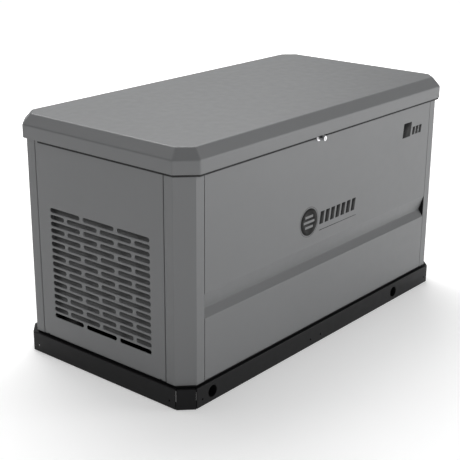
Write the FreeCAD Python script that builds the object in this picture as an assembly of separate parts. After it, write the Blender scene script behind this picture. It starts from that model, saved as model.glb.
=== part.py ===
import FreeCAD, Part
import math
import os

# Home standby generator: sheet-steel enclosure with a hinged lid on a black base, and an
# air-cooled V-twin gas engine driving an alternator inside it.
# Millimetres. Origin at the centre of the footprint on the ground, +X along the length with the
# intake grille at -X, the lock side at -Y, +Z up.

V = FreeCAD.Vector
X = V(1, 0, 0)
Y = V(0, 1, 0)
Z = V(0, 0, 1)

# ---- enclosure ----
LENGTH = 1220.0          # over the base and over the lid
BODY_INSET = 7.75        # body end face inside the base end face
BODY_WIDTH = 606.0       # over the body panels
BASE_MARGIN = 7.5        # base skirts outside the body panels, front and rear
LID_MARGIN = 14.0        # lid outside the body panels, front and rear
FOOT_PAD = 1.5           # pads under the base
SKIRT_HEIGHT = 58.0
PANEL_HEIGHT = 558.7     # from the panel's bottom edge to the lid's bottom edge
LID_FASCIA = 35.6        # upright part of the lid
LID_RISE = 27.2          # bevelled part of the lid
LID_INSET = 23.2         # how far the bevel leans in
LID_CHAMFER = 47.8       # corner cut of the lid
BODY_CHAMFER = 40.0      # corner cut of the body
BASE_CHAMFER = 38.0      # corner cut of the base
SHEET = 1.5              # enclosure sheet
BASE_SHEET = 2.5
SKIRT_LIP = 7.0          # top lip of the base skirts
SKIRT_FOOT = 30.0        # bottom lip of the base skirts
SEAL_GAP = 7.4           # body stands this far above the floor plate
SEAL_SETBACK = 5.0       # base seal behind the panel face
SEAL_WIDTH = 15.0
OVERLAP = 26.9           # how far the body reaches up inside the lid
FRAME_DROP = 20.4        # depth of the lid's inner stiffening frame
SEAL_TOP_GAP = 0.3       # top seal under that frame
JOINT_GAP = 2.0          # open joint between a post and a panel
CORNER_JOINT = 1.3       # open joint beside each base corner plate
POST_FLANGE = 29.0       # post face beside the front panel
POST_SIDE = 30.0         # post face beside the end panel
RETURN = 14.0            # return flanges of the panels

# ---- front panel groove ----
GROOVE_LOW = 173.1       # lower edge above the panel's bottom edge
GROOVE_STEEP = 21.0      # height of the steep lower slope
GROOVE_LONG = 49.0       # height of the long upper slope
GROOVE_DEPTH = 16.0

# ---- grille slots ----
SLOT_ROWS = 17
SLOT_PITCH = 19.07
BAFFLE_LIP = 7.0
BAFFLE_RISE = 3.6        # lower edge above the middle of the lowest row of slots
SLOT_RADIUS = 6.0
SLOT_LONG = 114.0
SLOT_SHORT = 54.0
SLOT_WEB = 12.0
SLOT_WEB_SHORT = 10.5
SLOT_BOTTOM = 68.1       # lowest row above the panel's bottom edge
OUTLET_ROWS = 12         # rows kept on the outlet end, above the exhaust outlet

# ---- lifting tubes and base holes ----
LIFT_RADIUS = 16.6
LIFT_WALL = 3.4
LIFT_HEIGHT = 30.0
LIFT_X = (-510.0, 364.0)
BASE_HOLE = 3.0
BASE_HOLE_HEIGHT = 22.0
BASE_HOLE_X = (-549.0, -80.0, -31.0, 553.0)
BASE_HOLE_Y = (-251.0, 251.0)

# ---- lid hinge, lock and gas struts ----
HINGE_RADIUS = 8.0
HINGE_PIN = 3.0
HINGE_STANDOFF = 15.0    # axis behind the rear panel
HINGE_DROP = 12.1        # axis below the lid's bottom edge
HINGE_X = (-400.0, 0.0, 400.0)
HINGE_WIDTH = 80.0
RUN = 0.05               # radial running clearance
LOCK_X = -64.0
LOCK_DROP = 7.6          # lock axis below the lid's bottom edge
LOCK_RADIUS = 6.8
LOCK_REACH = 23.0        # lock face in front of the panel
CAM_LENGTH = 30.0
CAM_WIDTH = 16.0
CAM_PLAY = 1.5           # between the turned cam and the striker
STRUT_INSET = 50.0       # strut plane inside the body end face
STRUT_FOOT_Z = 431.7     # lower pivot, from the ground
STRUT_PLATE = (2.2, 8.8)       # gaps beside the foot plate: to the baffle and to the panel's edge
STRUT_PIVOT = 8.0        # lower pivot behind the foot plate's front edge
STRUT_LENGTH = 215.0
STRUT_LEAN = 84.92       # degrees from level
STRUT_TUBE = 9.0
STRUT_ROD = 4.0
STRUT_EYE = 8.0
STRUT_TUBE_LENGTH = 135.0

# ---- engine and alternator ----
CRANK_X = -66.0          # middle between the two cylinders
CASE_LENGTH = 220.0
CASE_HALF = 110.0        # half width and depth under the crank
CASE_WALL = 12.0
CASE_BORE = 78.0
FOOT_HEIGHT = 24.0
RAIL_HEIGHT = 40.0
RAIL_WIDTH = 40.0
RAIL_Y = 130.0
ISOLATOR_HEIGHT = 25.0
ISOLATOR_RADIUS = 22.0
CRADLE = 6.0
JOURNAL = 22.0
BORE = 43.0
DECK = 105.0             # crank axis to cylinder deck
DECK_HALF = 62.0
BARREL_LENGTH = 70.0
HEAD_LENGTH = 60.0
HEAD_HALF = 56.0
ROCKER_HEIGHT = 33.0
BANK_OFFSET = 22.0
FIN_RADIUS = 64.0
FIN = 2.5
FIN_PITCH = 9.0
BLOWER_RADIUS = 165.0
BLOWER_LENGTH = 112.0
FLYWHEEL_RADIUS = 125.0
STATOR_RADIUS = 118.0
STATOR_BORE = 86.0
STATOR_LENGTH = 200.0
BELL_LENGTH = 40.0
END_BELL = 24.0
ROTOR_GAP = 1.0
PIPE = 15.0
PIPE_WALL = 2.0
MUFFLER_RADIUS = 75.0
MUFFLER_LENGTH = 400.0
MUFFLER_Z = 370.0
TAIL_Z = 150.0
TAIL_RADIUS = 22.0
FIREWALL_GAP = 26.0      # alternator cover to firewall

# ---- controls and battery ----
BATTERY = (207.0, 175.0, 175.0)
BATTERY_STAND = 4.0      # thickness of the tray's floor
BOX_LENGTH = 200.0
BOX_DEPTH = 144.0
BOX_HEIGHT = 188.0
BUTTON_RADIUS = 7.0
BUTTON_GAP = 0.3
DIPSTICK_TUBE = 150.0
FILLER_RADIUS = 11.0
FILLER_DIRECTION = V(0, -0.5, math.sqrt(0.75))
FILTER_X = -6.0

# ---- rear services ----
FUEL_X = 180.0
FUEL_Z = 112.0
NIPPLE = 13.0
CONDUIT_X = -440.0
CONDUIT_Z = 130.0
CONDUIT_RADIUS = 17.0

# ---- worked out ----
BODY_X = LENGTH / 2 - BODY_INSET
BODY_Y = BODY_WIDTH / 2
BASE_X = LENGTH / 2
BASE_Y = BODY_Y + BASE_MARGIN
LID_Y = BODY_Y + LID_MARGIN
SKIRT_TOP = FOOT_PAD + SKIRT_HEIGHT
FLOOR_TOP = SKIRT_TOP - BASE_SHEET
PANEL_BOTTOM = FLOOR_TOP + SEAL_GAP
LID_BOTTOM = PANEL_BOTTOM + PANEL_HEIGHT
LID_EDGE = LID_BOTTOM + LID_FASCIA
LID_TOP = LID_EDGE + LID_RISE
BODY_TOP = LID_BOTTOM + OVERLAP
LID_FRAME_LOW = LID_TOP - SHEET - FRAME_DROP
PANEL_X = BODY_X - BODY_CHAMFER - POST_FLANGE - JOINT_GAP
PANEL_Y = BODY_Y - BODY_CHAMFER - POST_SIDE - JOINT_GAP
BAFFLE_Y = SLOT_LONG * 1.5 + SLOT_WEB + SLOT_RADIUS - 2.0 + BAFFLE_LIP
CHAMFER_X = BODY_X - BODY_CHAMFER
CHAMFER_Y = BODY_Y - BODY_CHAMFER
HINGE_Y = BODY_Y + HINGE_STANDOFF
HINGE_Z = LID_BOTTOM - HINGE_DROP
LOCK_Z = LID_BOTTOM - LOCK_DROP
STRUT_X = BODY_X - STRUT_INSET
CRADLE_TOP = FLOOR_TOP + RAIL_HEIGHT + ISOLATOR_HEIGHT + CRADLE
CRANK_Z = CRADLE_TOP + FOOT_HEIGHT + CASE_HALF
CASE_LEFT = CRANK_X - CASE_LENGTH / 2
CASE_RIGHT = CRANK_X + CASE_LENGTH / 2
STATOR_LEFT = CASE_RIGHT + BELL_LENGTH
STATOR_RIGHT = STATOR_LEFT + STATOR_LENGTH
BELL_RIGHT = STATOR_RIGHT + END_BELL
COVER_RIGHT = BELL_RIGHT + 30.0
FIREWALL_X = COVER_RIGHT + FIREWALL_GAP
HEAD_BASE = DECK + BARREL_LENGTH
HEAD_TOP = HEAD_BASE + HEAD_LENGTH
HEAD_MID = HEAD_BASE + HEAD_LENGTH / 2
COS45 = math.sqrt(0.5)
PORT_Y = HEAD_MID * COS45
PORT_Z = CRANK_Z + HEAD_MID * COS45
MIXER_BOTTOM = CRANK_Z + (HEAD_MID + HEAD_HALF) * COS45 + 38.0
MIXER_TOP = MIXER_BOTTOM + 46.0
FILTER_Z = CRANK_Z - 62.0
FILLER_START = (CASE_RIGHT - 18.0, -CASE_HALF - 2.0, CRANK_Z - 24.0)


# ---- shaping ----
def box(x0, x1, y0, y1, z0, z1):
    return Part.makeBox(x1 - x0, y1 - y0, z1 - z0, V(x0, y0, z0))


def rod(radius, start, direction, length):
    return Part.makeCylinder(radius, length, V(*start), direction)


def pipe(outer, inner, start, direction, length):
    return rod(outer, start, direction, length).cut(rod(inner, start, direction, length))


def slab(points, direction):
    """The flat outline POINTS pushed along DIRECTION."""
    corners = [V(*p) for p in points]
    return Part.Face(Part.makePolygon(corners + [corners[0]])).extrude(direction)


def fold(path, thickness):
    """Outline of a folded sheet: PATH is its outer face, the metal lies on the right of it."""
    normals = []
    for (a, b), (c, d) in zip(path, path[1:]):
        run = math.hypot(c - a, d - b)
        normals.append(((d - b) / run, (a - c) / run))
    inner = []
    for i, (a, b) in enumerate(path):
        first = normals[max(i - 1, 0)]
        second = normals[min(i, len(normals) - 1)]
        scale = thickness / (1 + first[0] * second[0] + first[1] * second[1])
        inner.append((a + (first[0] + second[0]) * scale, b + (first[1] + second[1]) * scale))
    return list(path) + inner[::-1]


def octagon(half_x, half_y, leg, inset, z):
    """Rectangle with cut corners, drawn in by INSET on every side."""
    hx = half_x - inset
    hy = half_y - inset
    cut = leg - inset * (2 - math.sqrt(2))
    return [(-hx + cut, -hy, z), (hx - cut, -hy, z), (hx, -hy + cut, z), (hx, hy - cut, z),
            (hx - cut, hy, z), (-hx + cut, hy, z), (-hx, hy - cut, z), (-hx, -hy + cut, z)]


def ring(half_x, half_y, leg, inset, width, z0, z1):
    """Frame with cut corners, its outer face drawn in by INSET."""
    outer = slab(octagon(half_x, half_y, leg, inset, z0), Z * (z1 - z0))
    inner = slab(octagon(half_x, half_y, leg, inset + width, z0), Z * (z1 - z0))
    return outer.cut(inner)


def loft(lower, upper):
    wires = []
    for outline in (lower, upper):
        corners = [V(*p) for p in outline]
        wires.append(Part.makePolygon(corners + [corners[0]]))
    return Part.makeLoft(wires, True, True)


def fuse(shapes):
    return shapes[0].multiFuse(shapes[1:]).removeSplitter() if len(shapes) > 1 else shapes[0]


def flip_x(shape):
    return shape.mirror(V(0, 0, 0), X)


def flip_y(shape):
    return shape.mirror(V(0, 0, 0), Y)


def turned(shape, centre, axis, degrees):
    copy = shape.copy()
    copy.rotate(V(*centre), axis, degrees)
    return copy


def moved(shape, x, y, z):
    copy = shape.copy()
    copy.translate(V(x, y, z))
    return copy


def route(points, radius):
    """Wire of straight runs joined by tangent arcs of RADIUS."""
    corners = [V(*p) for p in points]
    edges = []
    start = corners[0]
    for before, corner, after in zip(corners, corners[1:], corners[2:]):
        back = (before - corner).normalize()
        ahead = (after - corner).normalize()
        half = back.getAngle(ahead) / 2
        reach = radius / math.tan(half)
        middle = (back + ahead).normalize()
        enter = corner + back * reach
        leave = corner + ahead * reach
        crown = corner + middle * (radius / math.sin(half) - radius)
        edges.append(Part.LineSegment(start, enter).toShape())
        edges.append(Part.Arc(enter, crown, leave).toShape())
        start = leave
    edges.append(Part.LineSegment(start, corners[-1]).toShape())
    return Part.Wire(edges)


def swept(points, bend, radius):
    path = route(points, bend)
    direction = V(*points[1]) - V(*points[0])
    circle = Part.Wire([Part.Circle(V(*points[0]), direction, radius).toShape()])
    return path.makePipeShell([circle], True, False)


def save(name, *shapes):
    """Write one node; several separate solids go in as a group."""
    solids = []
    for shape in shapes:
        solids.extend(shape.Solids)
    node = solids[0] if len(solids) == 1 else Part.makeCompound(solids)
    node.exportStep("parts/" + name + ".step")


# ---- base ----
def skirt_holes(half_y, along):
    cuts = []
    for x in LIFT_X:
        cuts.append(rod(LIFT_RADIUS, (x, -half_y - 1, LIFT_HEIGHT), Y, BASE_SHEET + 2))
    for x in along:
        cuts.append(rod(BASE_HOLE, (x, -half_y - 1, BASE_HOLE_HEIGHT), Y, BASE_SHEET + 2))
    return cuts


def skirt_profile(half, foot):
    path = [(-half + foot, FOOT_PAD), (-half, FOOT_PAD), (-half, SKIRT_TOP), (-half + SKIRT_LIP, SKIRT_TOP)]
    return fold(path, BASE_SHEET)


def long_skirt():
    reach = BASE_X - BASE_CHAMFER - CORNER_JOINT
    outline = [(-reach, y, z) for y, z in skirt_profile(BASE_Y, SKIRT_FOOT)]
    skirt = slab(outline, X * (2 * reach))
    for cut in skirt_holes(BASE_Y, BASE_HOLE_X):
        skirt = skirt.cut(cut)
    return skirt


def end_skirt():
    reach = BASE_Y - BASE_CHAMFER - CORNER_JOINT
    outline = [(x, -reach, z) for x, z in skirt_profile(BASE_X, SKIRT_FOOT)]
    skirt = slab(outline, Y * (2 * reach))
    # the bottom lip is mitred so that it stays clear of the long skirts' lips
    clear = BASE_Y - SKIRT_FOOT - CORNER_JOINT
    foot_end = BASE_X - BASE_SHEET
    for sign in (-1, 1):
        low = min(sign * clear, sign * BASE_Y)
        trim = box(-foot_end, -foot_end + SKIRT_FOOT, low, low + BASE_Y - clear, 0, FOOT_PAD + BASE_SHEET)
        skirt = skirt.cut(trim)
    for y in BASE_HOLE_Y:
        skirt = skirt.cut(rod(BASE_HOLE, (-BASE_X - 1, y, BASE_HOLE_HEIGHT), X, BASE_SHEET + 2))
    return skirt


def corner_plate():
    """Front left corner: a short folded plate across the cut corner."""
    face = BASE_CHAMFER * math.sqrt(2) / 2 - CORNER_JOINT
    lip = face - SKIRT_LIP * math.tan(math.radians(22.5)) - CORNER_JOINT / 2
    web = slab([(-face, 0, FOOT_PAD), (face, 0, FOOT_PAD), (face - 1.1, BASE_SHEET, FOOT_PAD),
                (-face + 1.1, BASE_SHEET, FOOT_PAD)], Z * SKIRT_HEIGHT)
    top = box(-lip, lip, BASE_SHEET / 2, SKIRT_LIP, FLOOR_TOP, SKIRT_TOP)
    plate = fuse([web, top])
    plate = turned(plate, (0, 0, 0), Z, -45)
    return moved(plate, -BASE_X + BASE_CHAMFER / 2, -BASE_Y + BASE_CHAMFER / 2, 0)


def base():
    front = long_skirt()
    left = end_skirt()
    corner = corner_plate()
    save("base_skirts", front, flip_y(front), left, flip_x(left))
    save("base_corner_plates", corner, flip_x(corner), flip_y(corner), flip_x(flip_y(corner)))
    outline = octagon(BASE_X, BASE_Y, BASE_CHAMFER, BASE_SHEET + 0.3, FLOOR_TOP - BASE_SHEET)
    save("base_floor", slab(outline, Z * BASE_SHEET))
    inner = BASE_Y - BASE_SHEET
    save("lifting_tubes", *[pipe(LIFT_RADIUS + LIFT_WALL, LIFT_RADIUS, (x, -inner, LIFT_HEIGHT), Y, 2 * inner)
                            for x in LIFT_X])
    pad_x = BASE_X - 123.0
    pad_y = BASE_Y - SKIRT_FOOT + 4.0
    pad = box(-pad_x - 51, -pad_x, -BASE_Y + 3, -pad_y, 0, FOOT_PAD)
    save("foot_pads", pad, flip_x(pad), flip_y(pad), flip_x(flip_y(pad)))
    bed = ring(BODY_X, BODY_Y, BODY_CHAMFER, SEAL_SETBACK, SEAL_WIDTH, FLOOR_TOP, PANEL_BOTTOM)
    rim = ring(BODY_X, BODY_Y, BODY_CHAMFER, 3.5, 9, BODY_TOP, LID_FRAME_LOW - SEAL_TOP_GAP)
    save("weather_seals", bed, rim)


# ---- body ----
def post():
    path = [(-PANEL_X - JOINT_GAP, -BODY_Y), (-CHAMFER_X, -BODY_Y), (-BODY_X, -CHAMFER_Y),
            (-BODY_X, -PANEL_Y - JOINT_GAP), (-BODY_X + RETURN, -PANEL_Y - JOINT_GAP)]
    outline = [(x, y, PANEL_BOTTOM) for x, y in fold(path, SHEET)]
    return slab(outline, Z * (BODY_TOP - PANEL_BOTTOM))


def front_panel():
    groove = PANEL_BOTTOM + GROOVE_LOW
    path = [(-BODY_Y + RETURN, PANEL_BOTTOM), (-BODY_Y, PANEL_BOTTOM), (-BODY_Y, groove),
            (-BODY_Y + GROOVE_DEPTH, groove + GROOVE_STEEP),
            (-BODY_Y, groove + GROOVE_STEEP + GROOVE_LONG), (-BODY_Y, BODY_TOP),
            (-BODY_Y + RETURN, BODY_TOP)]
    outline = [(-PANEL_X, y, z) for y, z in fold(path, SHEET)]
    panel = slab(outline, X * (2 * PANEL_X))
    return panel.cut(rod(LOCK_RADIUS + RUN, (LOCK_X, -BODY_Y - 1, LOCK_Z), Y, SHEET + 2))


def rear_panel():
    path = [(-BODY_Y + RETURN, PANEL_BOTTOM), (-BODY_Y, PANEL_BOTTOM), (-BODY_Y, BODY_TOP),
            (-BODY_Y + RETURN, BODY_TOP)]
    outline = [(-PANEL_X, y, z) for y, z in fold(path, SHEET)]
    panel = flip_y(slab(outline, X * (2 * PANEL_X)))
    for x, z, radius in ((FUEL_X, FUEL_Z, NIPPLE + RUN), (CONDUIT_X, CONDUIT_Z, CONDUIT_RADIUS)):
        panel = panel.cut(rod(radius, (x, BODY_Y - SHEET - 1, z), Y, SHEET + 2))
    return panel


def slot(x, y, z, length):
    """Obround cutter through an end panel, lying along Y."""
    half = length / 2 - SLOT_RADIUS
    bar = box(x, x + SHEET + 2, y - half, y + half, z - SLOT_RADIUS, z + SLOT_RADIUS)
    return fuse([bar, rod(SLOT_RADIUS, (x, y - half, z), X, SHEET + 2),
                 rod(SLOT_RADIUS, (x, y + half, z), X, SHEET + 2)])


def slot_row(row):
    """Centres and lengths across one row; rows with three long slots alternate with offset rows."""
    if row % 2 == 0:
        step = SLOT_LONG + SLOT_WEB
        return [(-step, SLOT_LONG), (0.0, SLOT_LONG), (step, SLOT_LONG)]
    long_at = (SLOT_LONG + SLOT_WEB_SHORT) / 2
    short_at = SLOT_LONG + SLOT_WEB_SHORT * 1.5 + SLOT_SHORT / 2
    return [(-short_at, SLOT_SHORT), (-long_at, SLOT_LONG), (long_at, SLOT_LONG), (short_at, SLOT_SHORT)]


def end_panel(lowest_row):
    """Left end panel: a tray with return flanges on all four sides and the slotted grille."""
    tray = box(-BODY_X, -BODY_X + RETURN, -PANEL_Y, PANEL_Y, PANEL_BOTTOM, BODY_TOP)
    tray = tray.cut(box(-BODY_X + SHEET, -BODY_X + RETURN, -PANEL_Y + SHEET, PANEL_Y - SHEET,
                        PANEL_BOTTOM + SHEET, BODY_TOP - SHEET))
    cutters = []
    for row in range(lowest_row, SLOT_ROWS):
        z = PANEL_BOTTOM + SLOT_BOTTOM + row * SLOT_PITCH
        for y, length in slot_row(row):
            cutters.append(slot(-BODY_X - 1, y, z, length))
    for sign in (-1, 1):
        y = sign * (PANEL_Y - 17.0)
        cutters.append(box(-BODY_X - 1, -BODY_X + RETURN + 1, y - 4, y + 4, PANEL_BOTTOM - 1, PANEL_BOTTOM + 3.5))
    return tray.cut(Part.makeCompound(cutters))


def baffle():
    """Folded sound baffle behind the intake slots; the lowest row is left open under it."""
    half = BAFFLE_Y - BAFFLE_LIP
    back = -BODY_X + SHEET
    path = [(back, BAFFLE_Y), (back, half), (back + 14, half), (back + 14, -half), (back, -half), (back, -BAFFLE_Y)]
    low = PANEL_BOTTOM + SLOT_BOTTOM + BAFFLE_RISE
    high = PANEL_BOTTOM + SLOT_BOTTOM + SLOT_PITCH * SLOT_ROWS
    outline = [(x, y, low) for x, y in fold(path[::-1], SHEET)]
    return slab(outline, Z * (high - low))


def body():
    corner = post()
    save("corner_posts", corner, flip_x(corner), flip_y(corner), flip_x(flip_y(corner)))
    save("front_panel", front_panel())
    save("rear_panel", rear_panel())
    save("intake_end_panel", end_panel(0))
    outlet = flip_x(end_panel(SLOT_ROWS - OUTLET_ROWS))
    hole = rod(TAIL_RADIUS + 8, (BODY_X - SHEET - 1, 0, TAIL_Z), X, SHEET + 2)
    save("outlet_end_panel", outlet.cut(hole))
    save("intake_baffle", baffle())
    inside = SHEET + 0.1
    rail = ring(BODY_X, BODY_Y, BODY_CHAMFER, inside, RETURN + 1, BODY_TOP - SHEET - 20.5, BODY_TOP - SHEET - 0.1)
    # the rail is notched where the posts' and panels' own flanges stand
    flanges = Part.makeCompound([corner, flip_x(corner), flip_y(corner), flip_x(flip_y(corner))])
    trays = Part.makeCompound([end_panel(SLOT_ROWS), flip_x(end_panel(SLOT_ROWS))])
    save("top_frame", rail.cut(flanges).cut(trays))


# ---- lid ----
def lid_shell():
    outer = fuse([slab(octagon(BASE_X, LID_Y, LID_CHAMFER, 0, LID_BOTTOM), Z * LID_FASCIA),
                  loft(octagon(BASE_X, LID_Y, LID_CHAMFER, 0, LID_EDGE),
                       octagon(BASE_X, LID_Y, LID_CHAMFER, LID_INSET, LID_TOP))])
    hem = slab(octagon(BASE_X, LID_Y, LID_CHAMFER, 2 * SHEET, LID_BOTTOM), Z * 8)
    middle = slab(octagon(BASE_X, LID_Y, LID_CHAMFER, SHEET, LID_BOTTOM + 8), Z * (LID_FASCIA - 8))
    upper = loft(octagon(BASE_X, LID_Y, LID_CHAMFER, SHEET, LID_EDGE),
                 octagon(BASE_X, LID_Y, LID_CHAMFER, LID_INSET + SHEET * 0.6, LID_TOP - SHEET))
    return outer.cut(fuse([hem, middle, upper]))


def lid_frame():
    """Pressed frame under the lid: an upright web to the lid's top and a flange over the seal."""
    low = LID_FRAME_LOW
    web = ring(BODY_X, BODY_Y, BODY_CHAMFER, 41, 2, low, LID_TOP - SHEET)
    flange = ring(BODY_X, BODY_Y, BODY_CHAMFER, 3, 39, low, low + 2)
    return fuse([web, flange])


def striker():
    """Hook under the lid's frame; the lock's cam turns over its ledge."""
    low = LID_FRAME_LOW
    back = -BODY_Y + 25.5
    ledge = LOCK_Z - CAM_WIDTH / 2 - CAM_PLAY
    left = LOCK_X + 14
    plate = box(left, left + 28, back - 2, back, ledge - 3, low)
    shelf = box(left, left + 28, back - 7.5, back, ledge - 3, ledge)
    tab = box(left, left + 28, back - 2, back + 14, low - 2, low)
    return fuse([plate, shelf, tab])


def lid():
    low = LID_FRAME_LOW
    save("lid_shell", lid_shell())
    save("lid_frame", lid_frame())
    foam = slab(octagon(BODY_X, BODY_Y, BODY_CHAMFER, 44, low + 2), Z * (FRAME_DROP - 2.3))
    save("lid_foam", foam)


def hinges():
    body_leaves = []
    lid_leaves = []
    pins = []
    third = HINGE_WIDTH / 3
    for x in HINGE_X:
        left = x - HINGE_WIDTH / 2
        low = HINGE_Z - 42
        plate = box(left, left + HINGE_WIDTH, BODY_Y, BODY_Y + 2, low, HINGE_Z - 8.5)
        parts = [plate]
        for start in (left, left + 2 * third):
            web = box(start, start + third - 0.3, BODY_Y, HINGE_Y, HINGE_Z - HINGE_RADIUS - 2, HINGE_Z)
            knuckle = rod(HINGE_RADIUS, (start, HINGE_Y, HINGE_Z), X, third - 0.3)
            parts.extend([web, knuckle])
        bore = rod(HINGE_PIN + RUN, (left - 1, HINGE_Y, HINGE_Z), X, HINGE_WIDTH + 2)
        body_leaves.append(fuse(parts).cut(bore))
        inner = LID_Y - 2 * SHEET
        upper = box(left, left + HINGE_WIDTH, inner - 2, inner, LID_BOTTOM - 2.5, LID_BOTTOM + 30)
        tab = box(left + third, left + 2 * third - 0.3, inner - 2, inner, HINGE_Z, LID_BOTTOM)
        middle = rod(HINGE_RADIUS, (left + third, HINGE_Y, HINGE_Z), X, third - 0.3)
        lid_leaves.append(fuse([upper, tab, middle]).cut(bore))
        pin = rod(HINGE_PIN, (left - 2, HINGE_Y, HINGE_Z), X, HINGE_WIDTH + 3.7)
        head = rod(HINGE_PIN + 1.5, (left - 4, HINGE_Y, HINGE_Z), X, 3.7)
        pins.append(fuse([pin, head]))
    save("hinge_body_leaves", *body_leaves, *pins)
    save("hinge_lid_leaves", *lid_leaves)


def lock():
    face = -BODY_Y - LOCK_REACH
    inside = -BODY_Y + 19
    barrel = rod(LOCK_RADIUS, (LOCK_X, face, LOCK_Z), Y, inside + 3 - face)
    key = box(LOCK_X - 0.7, LOCK_X + 0.7, face, face + 5, LOCK_Z - 3.5, LOCK_Z + 3.5)
    cam = box(LOCK_X - CAM_WIDTH / 2, LOCK_X + CAM_WIDTH / 2, inside, inside + 3, LOCK_Z - 9, LOCK_Z + CAM_LENGTH)
    bore = rod(LOCK_RADIUS, (LOCK_X, inside - 1, LOCK_Z), Y, 5)
    save("lock_barrel", barrel.cut(key), cam.cut(bore))
    flange = pipe(LOCK_RADIUS + 4, LOCK_RADIUS + RUN, (LOCK_X, -BODY_Y - 2.5, LOCK_Z), Y, 2.5)
    nut = pipe(LOCK_RADIUS + 3.5, LOCK_RADIUS + RUN, (LOCK_X, -BODY_Y + SHEET, LOCK_Z), Y, 16)
    save("lock_housing", flange, nut)


def struts():
    plate_low = BAFFLE_Y + STRUT_PLATE[0]
    foot_y = plate_low + STRUT_PIVOT
    foot_z = STRUT_FOOT_Z
    lean = math.radians(STRUT_LEAN)
    top = V(-STRUT_X, foot_y, foot_z) + V(0, math.cos(lean), math.sin(lean)) * STRUT_LENGTH
    half = STRUT_EYE / 2

    def placed(shape):
        """Lean a strut part built upright over the origin and set it on the lower pivot."""
        return moved(turned(shape, (0, 0, 0), X, STRUT_LEAN - 90), -STRUT_X, foot_y, foot_z)

    eye = rod(STRUT_EYE, (-half, 0, 0), X, STRUT_EYE)
    tube = rod(STRUT_TUBE, (0, 0, 6), Z, STRUT_TUBE_LENGTH - 6)
    tube = tube.cut(rod(STRUT_TUBE - 1, (0, 0, 16), Z, STRUT_TUBE_LENGTH - 26))
    tube = tube.cut(rod(STRUT_ROD + RUN, (0, 0, STRUT_TUBE_LENGTH - 15), Z, 20))
    bore = rod(4 + RUN, (-10, 0, 0), X, 20)
    cylinder = placed(eye.fuse(tube).cut(bore))
    piston = rod(STRUT_TUBE - 1 - RUN, (0, 0, 22), Z, 8)
    shaft = rod(STRUT_ROD, (0, 0, 30), Z, STRUT_LENGTH - 36.5)
    neck = box(-half, half, -3.9, 3.9, STRUT_LENGTH - 11, STRUT_LENGTH - 5.5)
    upper_eye = rod(STRUT_EYE, (-half, 0, STRUT_LENGTH), X, STRUT_EYE)
    upper_bore = rod(5.0, (-10, 0, STRUT_LENGTH), X, 20)
    piston_rod = placed(piston.fuse(shaft).fuse(upper_eye.fuse(neck)).cut(upper_bore))
    save("strut_left_cylinder", cylinder)
    save("strut_left_rod", piston_rod)
    save("strut_right_cylinder", flip_x(cylinder))
    save("strut_right_rod", flip_x(piston_rod))
    wall = -BODY_X + SHEET
    base_plate = box(wall, wall + 3, plate_low, PANEL_Y - STRUT_PLATE[1], foot_z - 22, foot_z + 22)
    stud = rod(4, (wall + 2, foot_y, foot_z), X, -STRUT_X + half + 1 - wall - 2)
    collar = rod(5.5, (wall + 2, foot_y, foot_z), X, -STRUT_X - half - 0.3 - wall - 2)
    cap = rod(5.5, (-STRUT_X + half + 0.3, foot_y, foot_z), X, 3)
    bracket = fuse([base_plate, stud, collar, cap])
    save("strut_body_brackets", bracket, flip_x(bracket))
    ceiling = LID_FRAME_LOW
    outer = -STRUT_X - half - 11
    hanger = box(outer, outer + 3, top.y - 12, top.y + 12, top.z - 10, ceiling)
    pad = box(outer - 9, outer + 3, top.y - 12, top.y + 12, ceiling - 2.5, ceiling)
    ball = rod(4, (outer + 2, top.y, top.z), X, 8.5)
    lid_bracket = fuse([hanger, pad, ball])
    save("lid_brackets", lid_bracket, flip_x(lid_bracket), striker())


# ---- engine bed ----
def engine_bed():
    left = CASE_LEFT - 20
    right = BELL_RIGHT + 5
    rails = []
    isolators = []
    path = [(RAIL_Y + RAIL_WIDTH / 2, FLOOR_TOP), (RAIL_Y - RAIL_WIDTH / 2, FLOOR_TOP),
            (RAIL_Y - RAIL_WIDTH / 2, FLOOR_TOP + RAIL_HEIGHT), (RAIL_Y + RAIL_WIDTH / 2, FLOOR_TOP + RAIL_HEIGHT)]
    rail = slab([(left, y, z) for y, z in fold(path, 3.0)], X * (right - left))
    rail_top = FLOOR_TOP + RAIL_HEIGHT
    for x in (CASE_LEFT + 30, BELL_RIGHT - 35):
        isolator = pipe(ISOLATOR_RADIUS, 5.5, (x, RAIL_Y, rail_top), Z, ISOLATOR_HEIGHT)
        isolators.extend([isolator, flip_y(isolator)])
    rails.extend([rail, flip_y(rail)])
    half = RAIL_Y + RAIL_WIDTH / 2
    cradle = box(CASE_LEFT + 1, right - 5, -half, half, CRADLE_TOP - CRADLE, CRADLE_TOP)
    cradle = cradle.cut(box(CASE_LEFT + 50, CASE_RIGHT - 50, -70, 70, CRADLE_TOP - 20, CRADLE_TOP + 1))
    cradle = cradle.cut(box(STATOR_LEFT + 10, STATOR_RIGHT - 20, -50, 50, CRADLE_TOP - 20, CRADLE_TOP + 1))
    for x in (CASE_LEFT + 30, BELL_RIGHT - 35):
        for sign in (-1, 1):
            cradle = cradle.cut(rod(5.5, (x, sign * RAIL_Y, CRADLE_TOP - 20), Z, 30))
    save("engine_bed", *rails, cradle)
    save("vibration_mounts", *isolators)


# ---- engine ----
BANKS = ((-1, CRANK_X - BANK_OFFSET), (1, CRANK_X + BANK_OFFSET))


def to_bank(shape, side):
    """Lean a part built upright over the crank to its own bank."""
    leaned = turned(shape, (0, 0, 0), X, -45 * side)
    return moved(leaned, 0, 0, CRANK_Z)


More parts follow.
